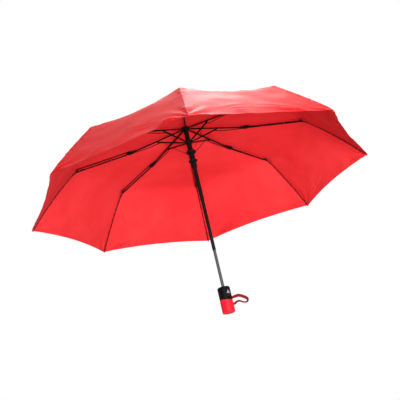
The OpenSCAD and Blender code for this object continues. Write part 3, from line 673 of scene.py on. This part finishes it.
def clothLine():
    # the line over one rib, as dense [radius, height] points
    c, lever, bow = canopy, arms["outerLever"], arms["outerBow"]
    height = arms["crown"][1] + c["top"]
    knots = [
        (c["hub"], height), (c["ringRadius"], height), (c["ringRadius"] + 6, height - 0.4),
        along(arms["crown"], arms["topAngle"], (arms["topLength"] - 8, arms["joint1Rise"] + c["rise1"] - 1)),
        along(arms["joint1"], arms["midAngle"], (1, c["rise1"] - 1.2)),
        along(arms["joint1"], arms["midAngle"], (arms["midLength"] - lever - 1, c["rise2"])),
        along(arms["joint2"], arms["outerAngle"], (1, lever + 1)),
    ]
    for u in np.linspace(0.04, 1, 40):
        rise = c["riseTip"] + (lever + 1 - c["riseTip"]) * (1 - u) ** 3 + 4 * bow * u * (1 - u)
        knots.append(along(arms["joint2"], arms["outerAngle"], (2 + (arms["outerLength"] + 1) * u, rise)))
    knots = np.array(knots)
    length = walkedAlong(knots)
    fine = np.arange(0, length[-1], c["lineStep"])
    smooth = smoothed(np.stack([np.interp(fine, length, knots[:, k]) for k in (0, 1)], 1), c["firmBend"])
    # cloth pushed up a little where a joint stands under it
    normal = normalOf(smooth)
    for joint, lift in c["jointLift"].items():
        away = (np.arange(len(smooth)) - nearestRow(smooth, arms[joint])) * c["lineStep"] / c["liftReach"]
        smooth = smooth + normal * (lift * np.exp(-0.5 * away ** 2))[:, None]
    return walkedAlong(smooth), smooth


lineLength, linePoints = clothLine()
lineEnd = lineLength[-1]
lineNormal = normalOf(linePoints)
softPoints = smoothed(linePoints, canopy["softBend"])
softNormal = normalOf(softPoints)
collarAt = float(np.interp(canopy["collar"], linePoints[:, 0], lineLength))
joint1At, joint2At = (float(lineLength[nearestRow(linePoints, arms[joint])])
                      for joint in ("joint1", "joint2"))


def smoothStep(low, high, value):
    t = np.clip((value - low) / (high - low), 0, 1)
    return t * t * (3 - 2 * t)


def onCloth(s, u):
    # s runs out along the rib's line, u from -1 to 1 across an arm's share; points in the arm's own axes
    s, u = np.broadcast_arrays(np.asarray(s, float), np.asarray(u, float))
    share = np.abs(u) / 2
    belly = 4 * share * (1 - share)
    back = canopy["scallop"] * belly * np.clip((s - joint2At) / (lineEnd - joint2At), 0, 1)
    at = s - back
    # the bend over a joint is sharp on the rib and soft between two ribs
    soft = belly * np.clip((at - canopy["softFrom"]) / canopy["softOver"], 0, 1)

    def between(firm, loose, k):
        sharp, gentle = (np.interp(at, lineLength, line[:, k]) for line in (firm, loose))
        return sharp * (1 - soft) + gentle * soft

    r, z = (between(linePoints, softPoints, k) for k in (0, 1))
    normalR, normalZ = (between(lineNormal, softNormal, k) for k in (0, 1))
    sink = canopy["hollow"] * belly * np.clip((r - canopy["ringRadius"]) / canopy["hollowOver"], 0, 1)
    r, z = r - normalR * sink, z - normalZ * sink
    x = r * ((1 - share) + share * math.cos(armStep))
    y = np.sign(u) * r * share * math.sin(armStep)
    return np.stack([x, y, z], -1)


def fabricNoise(points, stretch, seed):
    # smooth noise at each point, from -1 to 1
    flat = (points.reshape(-1, 3) * np.asarray(stretch)).tolist()
    values = [noise.noise((x + seed, y - seed, z + 2 * seed)) for x, y, z in flat]
    return np.array(values).reshape(points.shape[:-1]) * 1.6


wrinkles = {
    # heights, reaches, pitches and limits in mm; "beside" is how far from the seam a fold sets in
    "seamPucker": {"slack": 0.45, "taut": 1.5, "tautFrom": (-30, 20), "reach": 11.0, "rise": 1.5,
                   "pitch": 13.5, "start": (30, 60)},
    "tipFan": {"height": 2.9, "reach": 48.0, "folds": 8.5, "start": (3, 24), "end": (150, 90)},
    "jointFold": {"height": 1.5, "reach": 42.0, "beside": (10, 45)},
    "jointPucker": {"height": 0.9, "along": 16.0, "across": 26.0, "pitch": 6.5, "beside": (2, 10)},
    "hemSlack": {"height": 0.5, "reach": 22.0, "beside": (6, 40)},
    "hemFold": {"beside": (9, 40), "end": (178, 95), "sway": 3.5,
                # direction from the tip and width in degrees, height
                "ridges": ((5.5, 1.5, 3.2), (11, 2.0, 3.0), (18, 2.8, 2.4), (28, 4.0, 1.6))},
    "hemPucker": {"height": 0.22, "reach": 8.0, "pitch": 8.5, "beside": (8, 20)},
    "swell": {"height": 1.3, "start": (60, 200), "beside": (4, 40)},
    "capGather": {"height": 0.5, "from": 12, "reach": 16.0, "folds": 9.0, "start": (12, 17),
                  "share": (0.05, 0.2)},
    "seam": {"height": 0.35, "half": 1.7, "start": (14, 20), "ribClear": (9, 3)},
    "hem": {"height": 0.28, "fold": 1.6},
    # how fast each noise runs along x, y and z, and its seed
    "noises": {"broad": ((0.02, 0.02, 0.02), 3.1), "fine": ((0.055, 0.055, 0.055), 7.7),
               "streak": ((0.011, 0.011, 0.045), 12.3), "drift": ((0.012, 0.012, 0.03), 21.4)},
}


class ClothPlaces:
    # what the folds go by at each point of the cloth: distances in mm, and noises
    def __init__(self, s, u, world):
        self.s, self.u = s, u
        self.radius = np.hypot(world[..., 0], world[..., 1])
        self.side = self.radius * np.abs(u) / 2 * armStep            # from the seam
        self.fromHem = lineEnd - s
        self.onHem = np.clip(self.fromHem, 0, None)
        self.broad, self.fine, self.streak, self.drift = (
            fabricNoise(world, stretch, seed) for stretch, seed in wrinkles["noises"].values())

    def beside(self, fold):
        return smoothStep(*fold["beside"], self.side)


def seamFolds(at):
    f = wrinkles["seamPucker"]
    low, high = f["tautFrom"]
    taut = f["slack"] + f["taut"] * smoothStep(joint2At + low, joint2At + high, at.s)
    pucker = np.exp(-at.side / f["reach"]) * (1 - np.exp(-at.side / f["rise"]))
    pucker *= taut * (0.6 + 0.4 * at.broad)
    return pucker * np.sin(2 * math.pi * at.s / f["pitch"] + 5 * at.fine) * smoothStep(*f["start"], at.s)


def tipFolds(at):
    # folds that fan out from each tip
    f = wrinkles["tipFan"]
    gap = np.hypot(at.side, at.onHem)
    turn = np.arctan2(at.side, np.clip(at.fromHem, 0.001, None))
    fan = f["height"] * np.exp(-gap / f["reach"]) * smoothStep(*f["start"], gap) * smoothStep(*f["end"], gap)
    return fan * np.arcsin(0.97 * np.sin(f["folds"] * turn + 2.2 * at.broad + 1.3)) * 2 / math.pi


def jointFolds(at):
    # short folds and puckers over the second joint, where each gore turns down
    gap = np.abs(at.s - joint2At)
    f = wrinkles["jointFold"]
    out = f["height"] * at.streak * np.exp(-(gap / f["reach"]) ** 2) * at.beside(f)
    f = wrinkles["jointPucker"]
    near = np.exp(-(gap / f["along"]) ** 2) * np.exp(-at.side / f["across"])
    wave = np.sin(at.side / f["pitch"] + 3 * at.broad)
    return out + f["height"] * wave * near * at.beside(f)


def hemFolds(at):
    # slack along the hem
    f = wrinkles["hemSlack"]
    out = f["height"] * at.fine * np.exp(-at.fromHem / f["reach"]) * at.beside(f)
    # long folds that leave each tip close beside the hem
    f = wrinkles["hemFold"]
    turn = np.degrees(np.arctan2(at.onHem, at.side + 0.01))
    reach = at.beside(f) * smoothStep(*f["end"], at.side)
    for centre, wide, tall in f["ridges"]:
        ridge = np.exp(-((turn - centre - f["sway"] * at.drift) / wide) ** 2)
        out += tall * (0.3 + 0.9 * at.broad + 0.5 * at.streak) * ridge * reach
    # short puckers across the hem's stitching
    f = wrinkles["hemPucker"]
    stitched = np.exp(-at.fromHem / f["reach"]) * at.beside(f)
    return out + f["height"] * np.sin(2 * math.pi * at.side / f["pitch"] + 5 * at.fine) * stitched


def swells(at):
    # long, soft swells of a cloth that isn't quite even
    f = wrinkles["swell"]
    return f["height"] * at.broad * smoothStep(*f["start"], at.radius) * at.beside(f)


def capFolds(at):
    # gathers under the cap
    f = wrinkles["capGather"]
    gathered = np.exp(-(at.radius - f["from"]) / f["reach"]) * smoothStep(*f["start"], at.radius)
    return f["height"] * np.sin(at.u * f["folds"]) * gathered * smoothStep(*f["share"], np.abs(at.u))


def sewnEdges(at):
    # felled seam and folded hem
    seam, hem = wrinkles["seam"], wrinkles["hem"]
    felled = seam["height"] * np.exp(-(at.side / seam["half"]) ** 4) * smoothStep(*seam["start"], at.s)
    fold = (canopy["hemWidth"], canopy["hemWidth"] - hem["fold"])
    return felled + hem["height"] * smoothStep(*fold, at.fromHem)


def reliefOf(s, u, world):
    # height of the finished cloth over the plain one, in mm along its normal, and never into the ribs
    at = ClothPlaces(s, u, world)
    out = sum(folds(at) for folds in (seamFolds, tipFolds, jointFolds, hemFolds, swells, capFolds, sewnEdges))
    return np.where(out < 0, out * (1 - smoothStep(*wrinkles["seam"]["ribClear"], at.side)), out)


def normalsOf(grid):
    # grid [rows, around, 3], closed round the shaft
    return unit(np.cross(np.gradient(grid, axis=0), np.roll(grid, -1, 1) - np.roll(grid, 1, 1)))


def clothRows():
    # rows fall exactly on the section limits
    limits = [0.0, collarAt, joint1At, joint2At, lineEnd]
    rows, marks = [0.0], [0]
    for low, high in zip(limits, limits[1:]):
        count = max(4, round((high - low) / canopy["rowStep"]))
        if high == lineEnd:
            # closer rows at the hem's fold
            fold = high - canopy["hemWidth"] - 1
            rows += [*np.linspace(low, fold, count)[1:], *(fold + np.array(canopy["hemRows"]))]
        else:
            rows += [*np.linspace(low, high, count + 1)[1:]]
        marks.append(len(rows) - 1)
    return np.array(rows), marks


def clothColumns():
    k = np.linspace(-1, 1, 2 * canopy["columns"] + 1)
    return np.sign(k) * np.abs(k) ** canopy["columnPower"]


def buildCloth():
    rows, marks = clothRows()
    cols = clothColumns()
    s, u = np.meshgrid(rows, cols[:-1], indexing="ij")
    local = onCloth(s, u)
    # arms run clockwise, so the ring is put together anticlockwise
    order = list(armNumbers)[::-1]
    grid = np.concatenate([inArm(arm, local) for arm in order], 1)
    relief = reliefOf(np.tile(s, (1, len(order))), np.tile(u, (1, len(order))), grid / mm)
    grid = grid + normalsOf(grid) * (relief * mm)[..., None]
    return {"rows": rows, "marks": marks, "cols": cols, "per": len(cols) - 1, "order": order,
            "grid": grid, "normal": normalsOf(grid)}


cloth = buildCloth()
print("cloth surface worked out:", cloth["grid"].shape)


def armColumns(arm, colFrom, colTo):
    # columns of the whole ring that belong to one arm's share
    first = cloth["order"].index(arm) * cloth["per"]
    return (np.arange(colFrom, colTo + 1) + first) % (arms["count"] * cloth["per"])


def squeezed(values, signed, spans):
    # the same number of columns, set closer so that each row fills only its span of u
    rows = []
    for row, (uFrom, uTo) in zip(values, spans):
        wanted = uFrom + (signed - signed[0]) * (uTo - uFrom) / (signed[-1] - signed[0])
        rows.append(np.stack([np.interp(wanted, signed, row[:, k]) for k in range(row.shape[1])], -1))
    return np.array(rows)


def clothPatch(arm, rowFrom, rowTo, colFrom=0, colTo=None, drop=0.0, thick=None, spans=None):
    # points, normals and lengths of a patch of one arm's share, with its lower layer
    colTo = cloth["per"] if colTo is None else colTo
    rows = np.arange(rowFrom, rowTo + 1)
    place = np.ix_(rows, armColumns(arm, colFrom, colTo))
    top, normal = cloth["grid"][place], cloth["normal"][place]
    thick = canopy["thick"] if thick is None else thick
    s = np.broadcast_to(cloth["rows"][rows][:, None], top.shape[:2]) * mm
    signed = cloth["cols"][colFrom:colTo + 1]
    uv = np.stack([signed[None, :] * np.linalg.norm(top[..., :2], axis=2) * halfStep, s], -1)
    if spans is not None:
        top, normal, uv = (squeezed(values, signed, spans) for values in (top, normal, uv))
    upper, lower = (top - normal * deep * mm for deep in (drop, drop + thick))
    return {"top": upper, "low": lower, "normal": normal, "uv": uv}


def patchObject(name, patch, materials):
    rows, cols = patch["top"].shape[:2]
    index = np.arange(rows * cols).reshape(rows, cols)
    upper = np.stack([index[:-1, :-1], index[1:, :-1], index[1:, 1:], index[:-1, 1:]], -1).reshape(-1, 4)
    shift = rows * cols
    lower = upper[:, ::-1] + shift
    rim = np.concatenate([index[0, :], index[1:, -1], index[-1, :-1][::-1], index[1:-1, 0][::-1]])
    nextRim = np.roll(rim, -1)
    walls = np.stack([rim, nextRim, nextRim + shift, rim + shift], -1)
    faces = np.concatenate([upper, lower, walls])
    points = np.concatenate([patch["top"].reshape(-1, 3), patch["low"].reshape(-1, 3)])
    slots = [0] * len(upper) + [1] * len(lower) + [0] * len(walls)
    made = meshObject(name, points, faces, materials, slots)
    setUv(made, np.concatenate([patch["uv"].reshape(-1, 2)] * 2))
    normals = np.concatenate([patch["normal"].reshape(-1, 3), -patch["normal"].reshape(-1, 3)])
    made.data.normals_split_custom_set_from_vertices(normals.tolist())
    return made


panels = [
    # name, body, first and last mark, keep
    ("canopyTop", "top_rib_{}", 1, 2, "keepTop"),
    ("canopyMid", "mid_rib_{}", 2, 3, "keepMid"),
    ("canopyOuter", "outer_rib_{}", 3, 4, "keepOuter"),
]
clothMaterials = [finishes["clothOutShaded"], finishes["clothInLit"]]


def trapezoid(widthIn, widthOut, length):
    return (widthIn + widthOut) / 2 * length


def widthAt(s):
    # flat width of one gore at a place along its line
    return 2 * float(np.interp(s, lineLength, linePoints[:, 0])) * math.sin(halfStep) * mm


def outerRibDirection():
    return unit(np.array(arms["tip"]) - np.array(arms["joint2"]))


def gatherOnRib(piece, arm, name, side):
    # gives the piece a mesh of its own; for half a panel it also works out an axis square to the rib and a
    # point over the second joint, which nothing uses
    if side == 0:
        tuple(sideways(arm))
        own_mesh(piece)
        return
    rib = outerRibDirection()
    slope = 0 if name == "canopyGusset" else -math.sin(halfStep) * rib[0]
    x, z = -math.sin(halfStep) - slope * rib[0], -slope * rib[1]
    axis = outward(arm) * x + sideways(arm) * side * math.cos(halfStep) + np.array([0, 0, z])
    r, height = along(arms["joint2"], arms["outerAngle"], (0, canopy["gatherRise"]))
    tuple(inArm(arm, (r, 0, height)))
    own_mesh(piece)


def partsOf(name):
    # label, side, first and last column of each piece of a panel
    per = cloth["per"]
    if name == "canopyOuter":
        return [("Left", -1, 0, per // 2), ("Right", 1, per // 2, per)]
    return [("", 0, 0, per)]


def gussetSpans(first, last, side, inner):
    # the gusset is the part of a half panel that lies above the line square to the rib at the joint
    lean = math.sin(halfStep) * outerRibDirection()[0]
    spans = []
    for s in cloth["rows"][first:last + 1]:
        cut = min(1.0, max(canopy["leastCut"], (s - joint2At) / lean / (widthAt(s) / mm / 2)))
        cut = cut if inner or cut < 1 else canopy["mostCut"]
        low, high = (0, cut) if inner else (cut, 1)
        spans.append((low, high) if side > 0 else (-high, -low))
    return spans


def makeGusset(arm, label, side, colFrom, colTo):
    first = cloth["marks"][3]
    last = next(k for k in range(first, len(cloth["rows"])) if gussetSpans(k, k, 1, True)[0][1] == 1)
    patch = clothPatch(arm, first, last, colFrom, colTo, spans=gussetSpans(first, last, side, False))
    piece = patchObject(f"canopyGusset{label}_{arm}", patch, clothMaterials)
    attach(piece, f"outer_rib_{arm}")
    gatherOnRib(piece, arm, "canopyGusset", side)
    wide, deep = widthAt(joint2At) / 2, (cloth["rows"][last] - joint2At) * mm
    wide * deep / 2
    return wide * deep / 2


def makeCanopy():
    marks = cloth["marks"]
    made = {}
    for arm in armNumbers:
        for name, body, first, last, keep in panels:
            low, high = cloth["rows"][marks[first]], cloth["rows"][marks[last]]
            for label, side, colFrom, colTo in partsOf(name):
                spans = gussetSpans(marks[first], marks[last], side, True) if side else None
                gusset = makeGusset(arm, label, side, colFrom, colTo) if side else 0
                patch = clothPatch(arm, marks[first], marks[last], colFrom, colTo, spans=spans)
                piece = patchObject(f"{name}{label}_{arm}", patch, clothMaterials)
                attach(piece, body.format(arm))
                gatherOnRib(piece, arm, name, side)
                share = 0.5 if side else 1.0
                narrow, wide, length = widthAt(low) * share, widthAt(high) * share, (high - low) * mm
                trapezoid(narrow, wide, length) - gusset
                made[name + label, arm] = piece
        collar = patchObject(f"canopyCollar_{arm}", clothPatch(arm, 0, marks[1]), clothMaterials)
        start, end = (tuple(inArm(arm, place)) for place in canopy["collarBlend"])
        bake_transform(collar)
        wide = widthAt(collarAt)
        trapezoid(widthAt(0), wide, collarAt * mm)
        made["canopyCollar", arm] = collar
    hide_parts("canopy")
    return made


canopyPieces = makeCanopy()
print("canopy made:", len(canopyPieces), "pieces")


patches = {
    # mark, bodies on its two sides, rows and columns that it reaches on each side
    "patchInner": (2, ("top_rib_{}", "mid_rib_{}"), 5, 6),
    "patchOuter": (3, ("mid_rib_{}", "outer_rib_{}"), 6, 5),
}
patchCloth = {"gap": 0.08, "thick": 0.22, "leastFlat": 0.01}


def makeJointPatches():
    # small patches that line the cloth where a joint folds under it
    middle = cloth["per"] // 2
    for arm in armNumbers:
        for label, (mark, bodies, reach, span) in patches.items():
            row = cloth["marks"][mark]
            patch = clothPatch(arm, row - reach, row + reach, middle - span, middle + span,
                               drop=canopy["thick"] + patchCloth["gap"], thick=patchCloth["thick"])
            piece = patchObject(f"{label}_{arm}", patch, clothMaterials)
            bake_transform(piece)


makeJointPatches()


stitching = {"pitch": 4.2, "length": 2.7, "width": 0.42, "height": 0.3, "seamGap": 2.1, "hemInset": 7.2}


def besideSeam(arm, row, side):
    # place and normal on the finished cloth, at a distance in mm beside the seam
    columns = armColumns(arm, 0, cloth["per"])
    across = cloth["cols"] * np.linalg.norm(cloth["grid"][row, columns, :2], axis=1) * halfStep
    point, normal = (np.array([np.interp(side * mm, across, cloth[key][row, columns, k]) for k in range(3)])
                     for key in ("grid", "normal"))
    return point, unit(normal)


def makeStitches():
    marks = cloth["marks"]
    values = {label: stitching[label.lower()] * mm for label in ("Pitch", "Length", "Width", "Height")}
    values["Thread"] = finishes["thread"]
    hemRow = int(np.argmin(np.abs(cloth["rows"] - (lineEnd - stitching["hemInset"]))))
    for arm in armNumbers:
        for name, body, first, last, keep in panels:
            for label, half, colFrom, colTo in partsOf(name):
                lines = [[besideSeam(arm, row, side * stitching["seamGap"])
                          for row in range(marks[first], marks[last] + 1)]
                         for side in ((half,) if half else (-1, 1))]
                if half:
                    columns = armColumns(arm, colFrom, colTo)
                    normal = cloth["normal"][hemRow, columns]
                    for layer in (0, 1):
                        place = cloth["grid"][hemRow, columns] - normal * canopy["thick"] * mm * layer
                        lines.append(list(zip(place, normal * (1 - 2 * layer))))
                points, facing, edges = [], [], []
                for line in lines:
                    edges += [(len(points) + k, len(points) + k + 1) for k in range(len(line) - 1)]
                    points += [point for point, normal in line]
                    facing += [normal for point, normal in line]
                piece = grown(f"{name}{label}Stitches_{arm}", trees["stitch"], values, points, edges,
                              {"facing": facing})
                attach(piece, body.format(arm))
                gatherOnRib(piece, arm, name, half)


makeStitches()
print("stitches made")


strap = {
    "width": 8.2,
    "thick": 1.1,
    "edge": (0.35, 0.5),        # how square the ribbon's section is, across and through
    "around": 16,
    "perSpan": 9,
    "flatWidth": 0.01,
    # x, y, z in mm and the ribbon's turn about its path in degrees
    "path": [(12.8, 2, 39.4, 50), (20.5, 2, 40.4, 40), (28.2, 1, 41.3, 20), (33.6, 0, 41.4, 5),
             (38.2, -1, 39.8, 5), (43.8, -2, 36.8, 5), (50.2, -3, 32.2, 10), (54.8, -3.5, 28.4, 25),
             (56.6, -3.5, 25, 45), (55.8, -3, 21.2, 50), (52.6, -2, 18.9, 50), (47.4, 0, 19.4, 50),
             (41, 2, 22.6, 50), (35.4, 3, 26.2, 45), (30.4, 4, 27, 40), (25.5, 6, 26, 40),
             (21.6, 9.9, 24.2, 30), (17.4, 14.3, 24.8, 20), (14.1, 17.1, 27.5, 10), (12.6, 17.9, 31.5, 0),
             (12.1, 17.6, 36.5, 0), (11, 15, 41, 0), (9.5, 10.5, 45.5, 0)],
}


def makeStrap():
    fine = smoothPath(strap["path"], strap["perSpan"])
    path, turns = fine[:, :3] * mm, np.radians(fine[:, 3:])
    ahead = unit(np.gradient(path, axis=0))
    walked = walkedAlong(path)
    flat = unit(np.cross((0, 1.0, 0), ahead))
    across = flat * np.cos(turns) + np.cross(ahead, flat) * np.sin(turns)
    face = np.cross(ahead, across)
    half, thick = strap["width"] / 2 * mm, strap["thick"] / 2 * mm
    ring = []
    for k in range(strap["around"]):
        a = 2 * math.pi * k / strap["around"]
        ring.append([math.copysign(abs(c) ** power, c)
                     for c, power in zip((math.cos(a), math.sin(a)), strap["edge"])])
    points, faces = sweptMesh([[point + wide * (half * x) + deep * (thick * y) for x, y in ring]
                               for point, wide, deep in zip(path, across, face)])
    piece = meshObject("strap", points, faces, [finishes["strap"]])
    setUv(piece, [(half * x, w) for w in walked for x, y in ring])
    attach(piece, "handle")
    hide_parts("wrist_strap")
    length = float(walked[-1])
    return length


strapLength = makeStrap()
print(f"strap made, {strapLength / mm:.0f} mm long")


spring = {"turns": 26, "radius": 2.8, "wire": 0.5, "foot": 10, "top": 559, "closedShare": 0.53}


def makeSpring():
    foot, height = spring["foot"] * mm, (spring["top"] - spring["foot"]) * mm
    piece = grown("mainSpring", trees["spring"], {
        "Turns": float(spring["turns"]), "Radius": spring["radius"] * mm, "Wire": spring["wire"] * mm,
        "Height": height, "Foot": foot, "Finish": finishes["plainSteel"]})
    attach(piece, "handle")
    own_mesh(piece)
    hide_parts("shaft_spring")


makeSpring()


helper = {"wire": 0.45, "sides": 7, "from": (14.2, 482.2), "to": (62.0, -1.6), "beside": -0.4, "sag": 1.5,
          "hook": (1.5, 1.2, 0.3), "flat": 0.05}


def makeHelperWires():
    # thin wires from the runner's flange up to the stretchers
    angle = arms["stretcherAngle"]
    start, end = np.array(helper["from"]), np.array(along(arms["foot"], angle, helper["to"]))
    line = [start + (end - start) * t - (0, helper["sag"] * 4 * t * (1 - t)) for t in np.linspace(0, 1, 16)]
    reach, step, lift = helper["hook"]
    line += [along(end, angle, (reach + step * k, lift * k)) for k in range(3)]
    for arm in armNumbers:
        path = inArm(arm, [(r, helper["beside"], z) for r, z in line])
        points, faces = tubeAlong(path, helper["wire"] * mm, helper["sides"])
        piece = meshObject(f"helperWire_{arm}", points, faces, [finishes["blackSteel"]])
        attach(piece, f"stretcher_{arm}")
        across = outward(arm) * -math.sin(angle) + np.array((0, 0, math.cos(angle)))
        tuple(inArm(arm, (end[0], 0, end[1])))
        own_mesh(piece)


makeHelperWires()
print("spring and helper wires made")


mark = {"turn": -56, "height": 54.6, "centre": 0.42, "base": 9.2, "tall": 9.0, "blunt": 0.12,
        "radius": 18.5, "sunk": 0.3, "proud": 0.18, "draft": 0.97, "steps": 12}


def makeButtonMark():
    # a plain arrowhead inlaid in the button, bent to its face
    m, steps = mark, mark["steps"]
    points, faces = [], []
    for proud, draft in ((-m["sunk"], 1), (m["proud"], m["draft"])):
        radius = m["radius"] + proud
        for t in (k / steps for k in range(steps + 1)):
            half = m["base"] / 2 * (1 - t) * draft + m["blunt"]
            for j in range(steps + 1):
                a = math.radians(m["turn"]) + half * (2 * j / steps - 1) / m["radius"]
                points.append((radius * math.cos(a) * mm, radius * math.sin(a) * mm,
                               (m["height"] + m["tall"] * (t - m["centre"])) * mm))
    side = steps + 1
    upper = side * side
    for a in (k * side + j for k in range(steps) for j in range(steps)):
        faces.append((a, a + side, a + side + 1, a + 1))
        faces.append((upper + a, upper + a + 1, upper + a + side + 1, upper + a + side))
    rim = [*range(steps), *range(steps, upper - 1, side), *range(upper - 1, upper - side, -1),
           *range(upper - side, 0, -side)]
    for a, b in zip(rim, rim[1:] + rim[:1]):
        faces.append((a, b, b + upper, a + upper))
    piece = meshObject("buttonMark", points, faces, [finishes["mark"]], smooth=False)
    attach(piece, "button")


makeButtonMark()


pocket = {"from": -5.5, "to": 3.4, "side": 2.5, "below": 2.5, "above": 3.6, "steps": 14, "around": 20,
          "roundFrom": 0.45, "roundPower": 2.4, "mouth": 0.1, "closed": 0.04, "leastFlat": 0.01, "ease": 1.02}


def pocketSize(t):
    # rounded at the outer end, a little mouth at the inner one
    rounded = max(0.0, (t - pocket["roundFrom"]) / (1 - pocket["roundFrom"])) ** pocket["roundPower"]
    size = math.sqrt(max(0.0, 1 - rounded)) * (1 + pocket["mouth"] * max(0, 1 - t * 6))
    return max(size, pocket["closed"])


def makeTipPockets():
    # the little cloth pockets sewn into each corner, which take the rib's capped tip
    p = pocket
    angle = arms["outerAngle"] - math.atan(2 * arms["outerBow"] / arms["outerLength"])
    rings = []
    for t in (k / p["steps"] for k in range(p["steps"] + 1)):
        x, size = p["from"] + (p["to"] - p["from"]) * t, pocketSize(t)
        ring = []
        for a in (2 * math.pi * k / p["around"] for k in range(p["around"])):
            tall = p["above"] if math.sin(a) > 0 else p["below"]
            r, height = along(arms["tip"], angle, (x, tall * size * math.sin(a)))
            ring.append((r, p["side"] * size * math.cos(a), height))
        rings.append(ring)
    for arm in armNumbers:
        points, faces = sweptMesh([inArm(arm, ring) for ring in rings])
        piece = meshObject(f"tipPocket_{arm}", points, faces, [finishes["clothOutShaded"]])
        setUv(piece, [(x, z) for x, y, z in points])
        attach(piece, f"outer_rib_{arm}")


makeTipPockets()


ties = {
    "thread": 0.22,
    "sides": 5,
    "turns": 3,
    "around": 16,
    "pitch": 0.35,
    "side": 2.3,
    "below": 2.1,
    # body, where its line starts and heads, height over that line, places along it, height up to the cloth
    "places": [("mid_rib_{}", "midTie", "joint1", "midAngle", -1.2, (52, 104), 8.6),
               ("outer_rib_{}", "outerTie", "joint2", "outerAngle", 6.1, (88, 128), 4.4)],
}


def tieShape(name, tall):
    # a few turns of thread round the rib, drawn up to the cloth
    path = []
    for k in range(ties["turns"] * ties["around"] + 1):
        turn = k / ties["around"]
        a = 2 * math.pi * turn
        path.append(np.array((ties["pitch"] * (turn - ties["turns"] / 2), ties["side"] * math.cos(a),
                              (tall if math.sin(a) > 0 else ties["below"]) * math.sin(a))) * mm)
    points, faces = tubeAlong(path, ties["thread"] * mm, ties["sides"])
    return meshObject(name, points, faces, [finishes["thread"]])


def makeTies():
    for body, name, start, angle, rise, places, tall in ties["places"]:
        values = {"Shape": tieShape("tieShape", tall), "Size": 1.0, "Finish": finishes["thread"]}
        spots = [along(arms[start], arms[angle], (x, rise)) for x in places]
        for arm in armNumbers:
            heading = outward(arm) * math.cos(arms[angle]) + np.array((0, 0, math.sin(arms[angle])))
            facing = np.cross(heading, -sideways(arm))
            facing = facing if facing[2] > 0 else -facing
            points = inArm(arm, [(r, 0, z) for r, z in spots])
            piece = grown(f"{name}_{arm}", trees["scatter"], values, points, (),
                          {"facing": [facing] * len(spots), "heading": [heading] * len(spots)})
            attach(piece, body.format(arm))
        bpy.data.objects.remove(values["Shape"])


makeTies()
print("mark, pockets and ties made")


nodeFinishes = {
    "nylon": ["crown", "cap", "runner"], "blackTube": ["top_tube", "middle_tube"],
    "greyTube": ["bottom_tube"], "shell": ["handle_shell"], "grip": ["grip"], "button": ["push_button"],
    "plainSteel": ["shaft_spring"], "strap": ["wrist_strap"], "clothOutShaded": ["canopy"],
    "blackSteel": [f"{kind}_{arm}" for arm in armNumbers for kind in
                   ("top_rib", "stretcher", "link_rod", "mid_rib", "control_wire", "outer_rib")],
}


def paintNodes():
    for finish, names in nodeFinishes.items():
        for name in names:
            mesh = nodes[name].data
            mesh.materials.clear()
            mesh.materials.append(finishes[finish])


paintNodes()
print("frame painted")
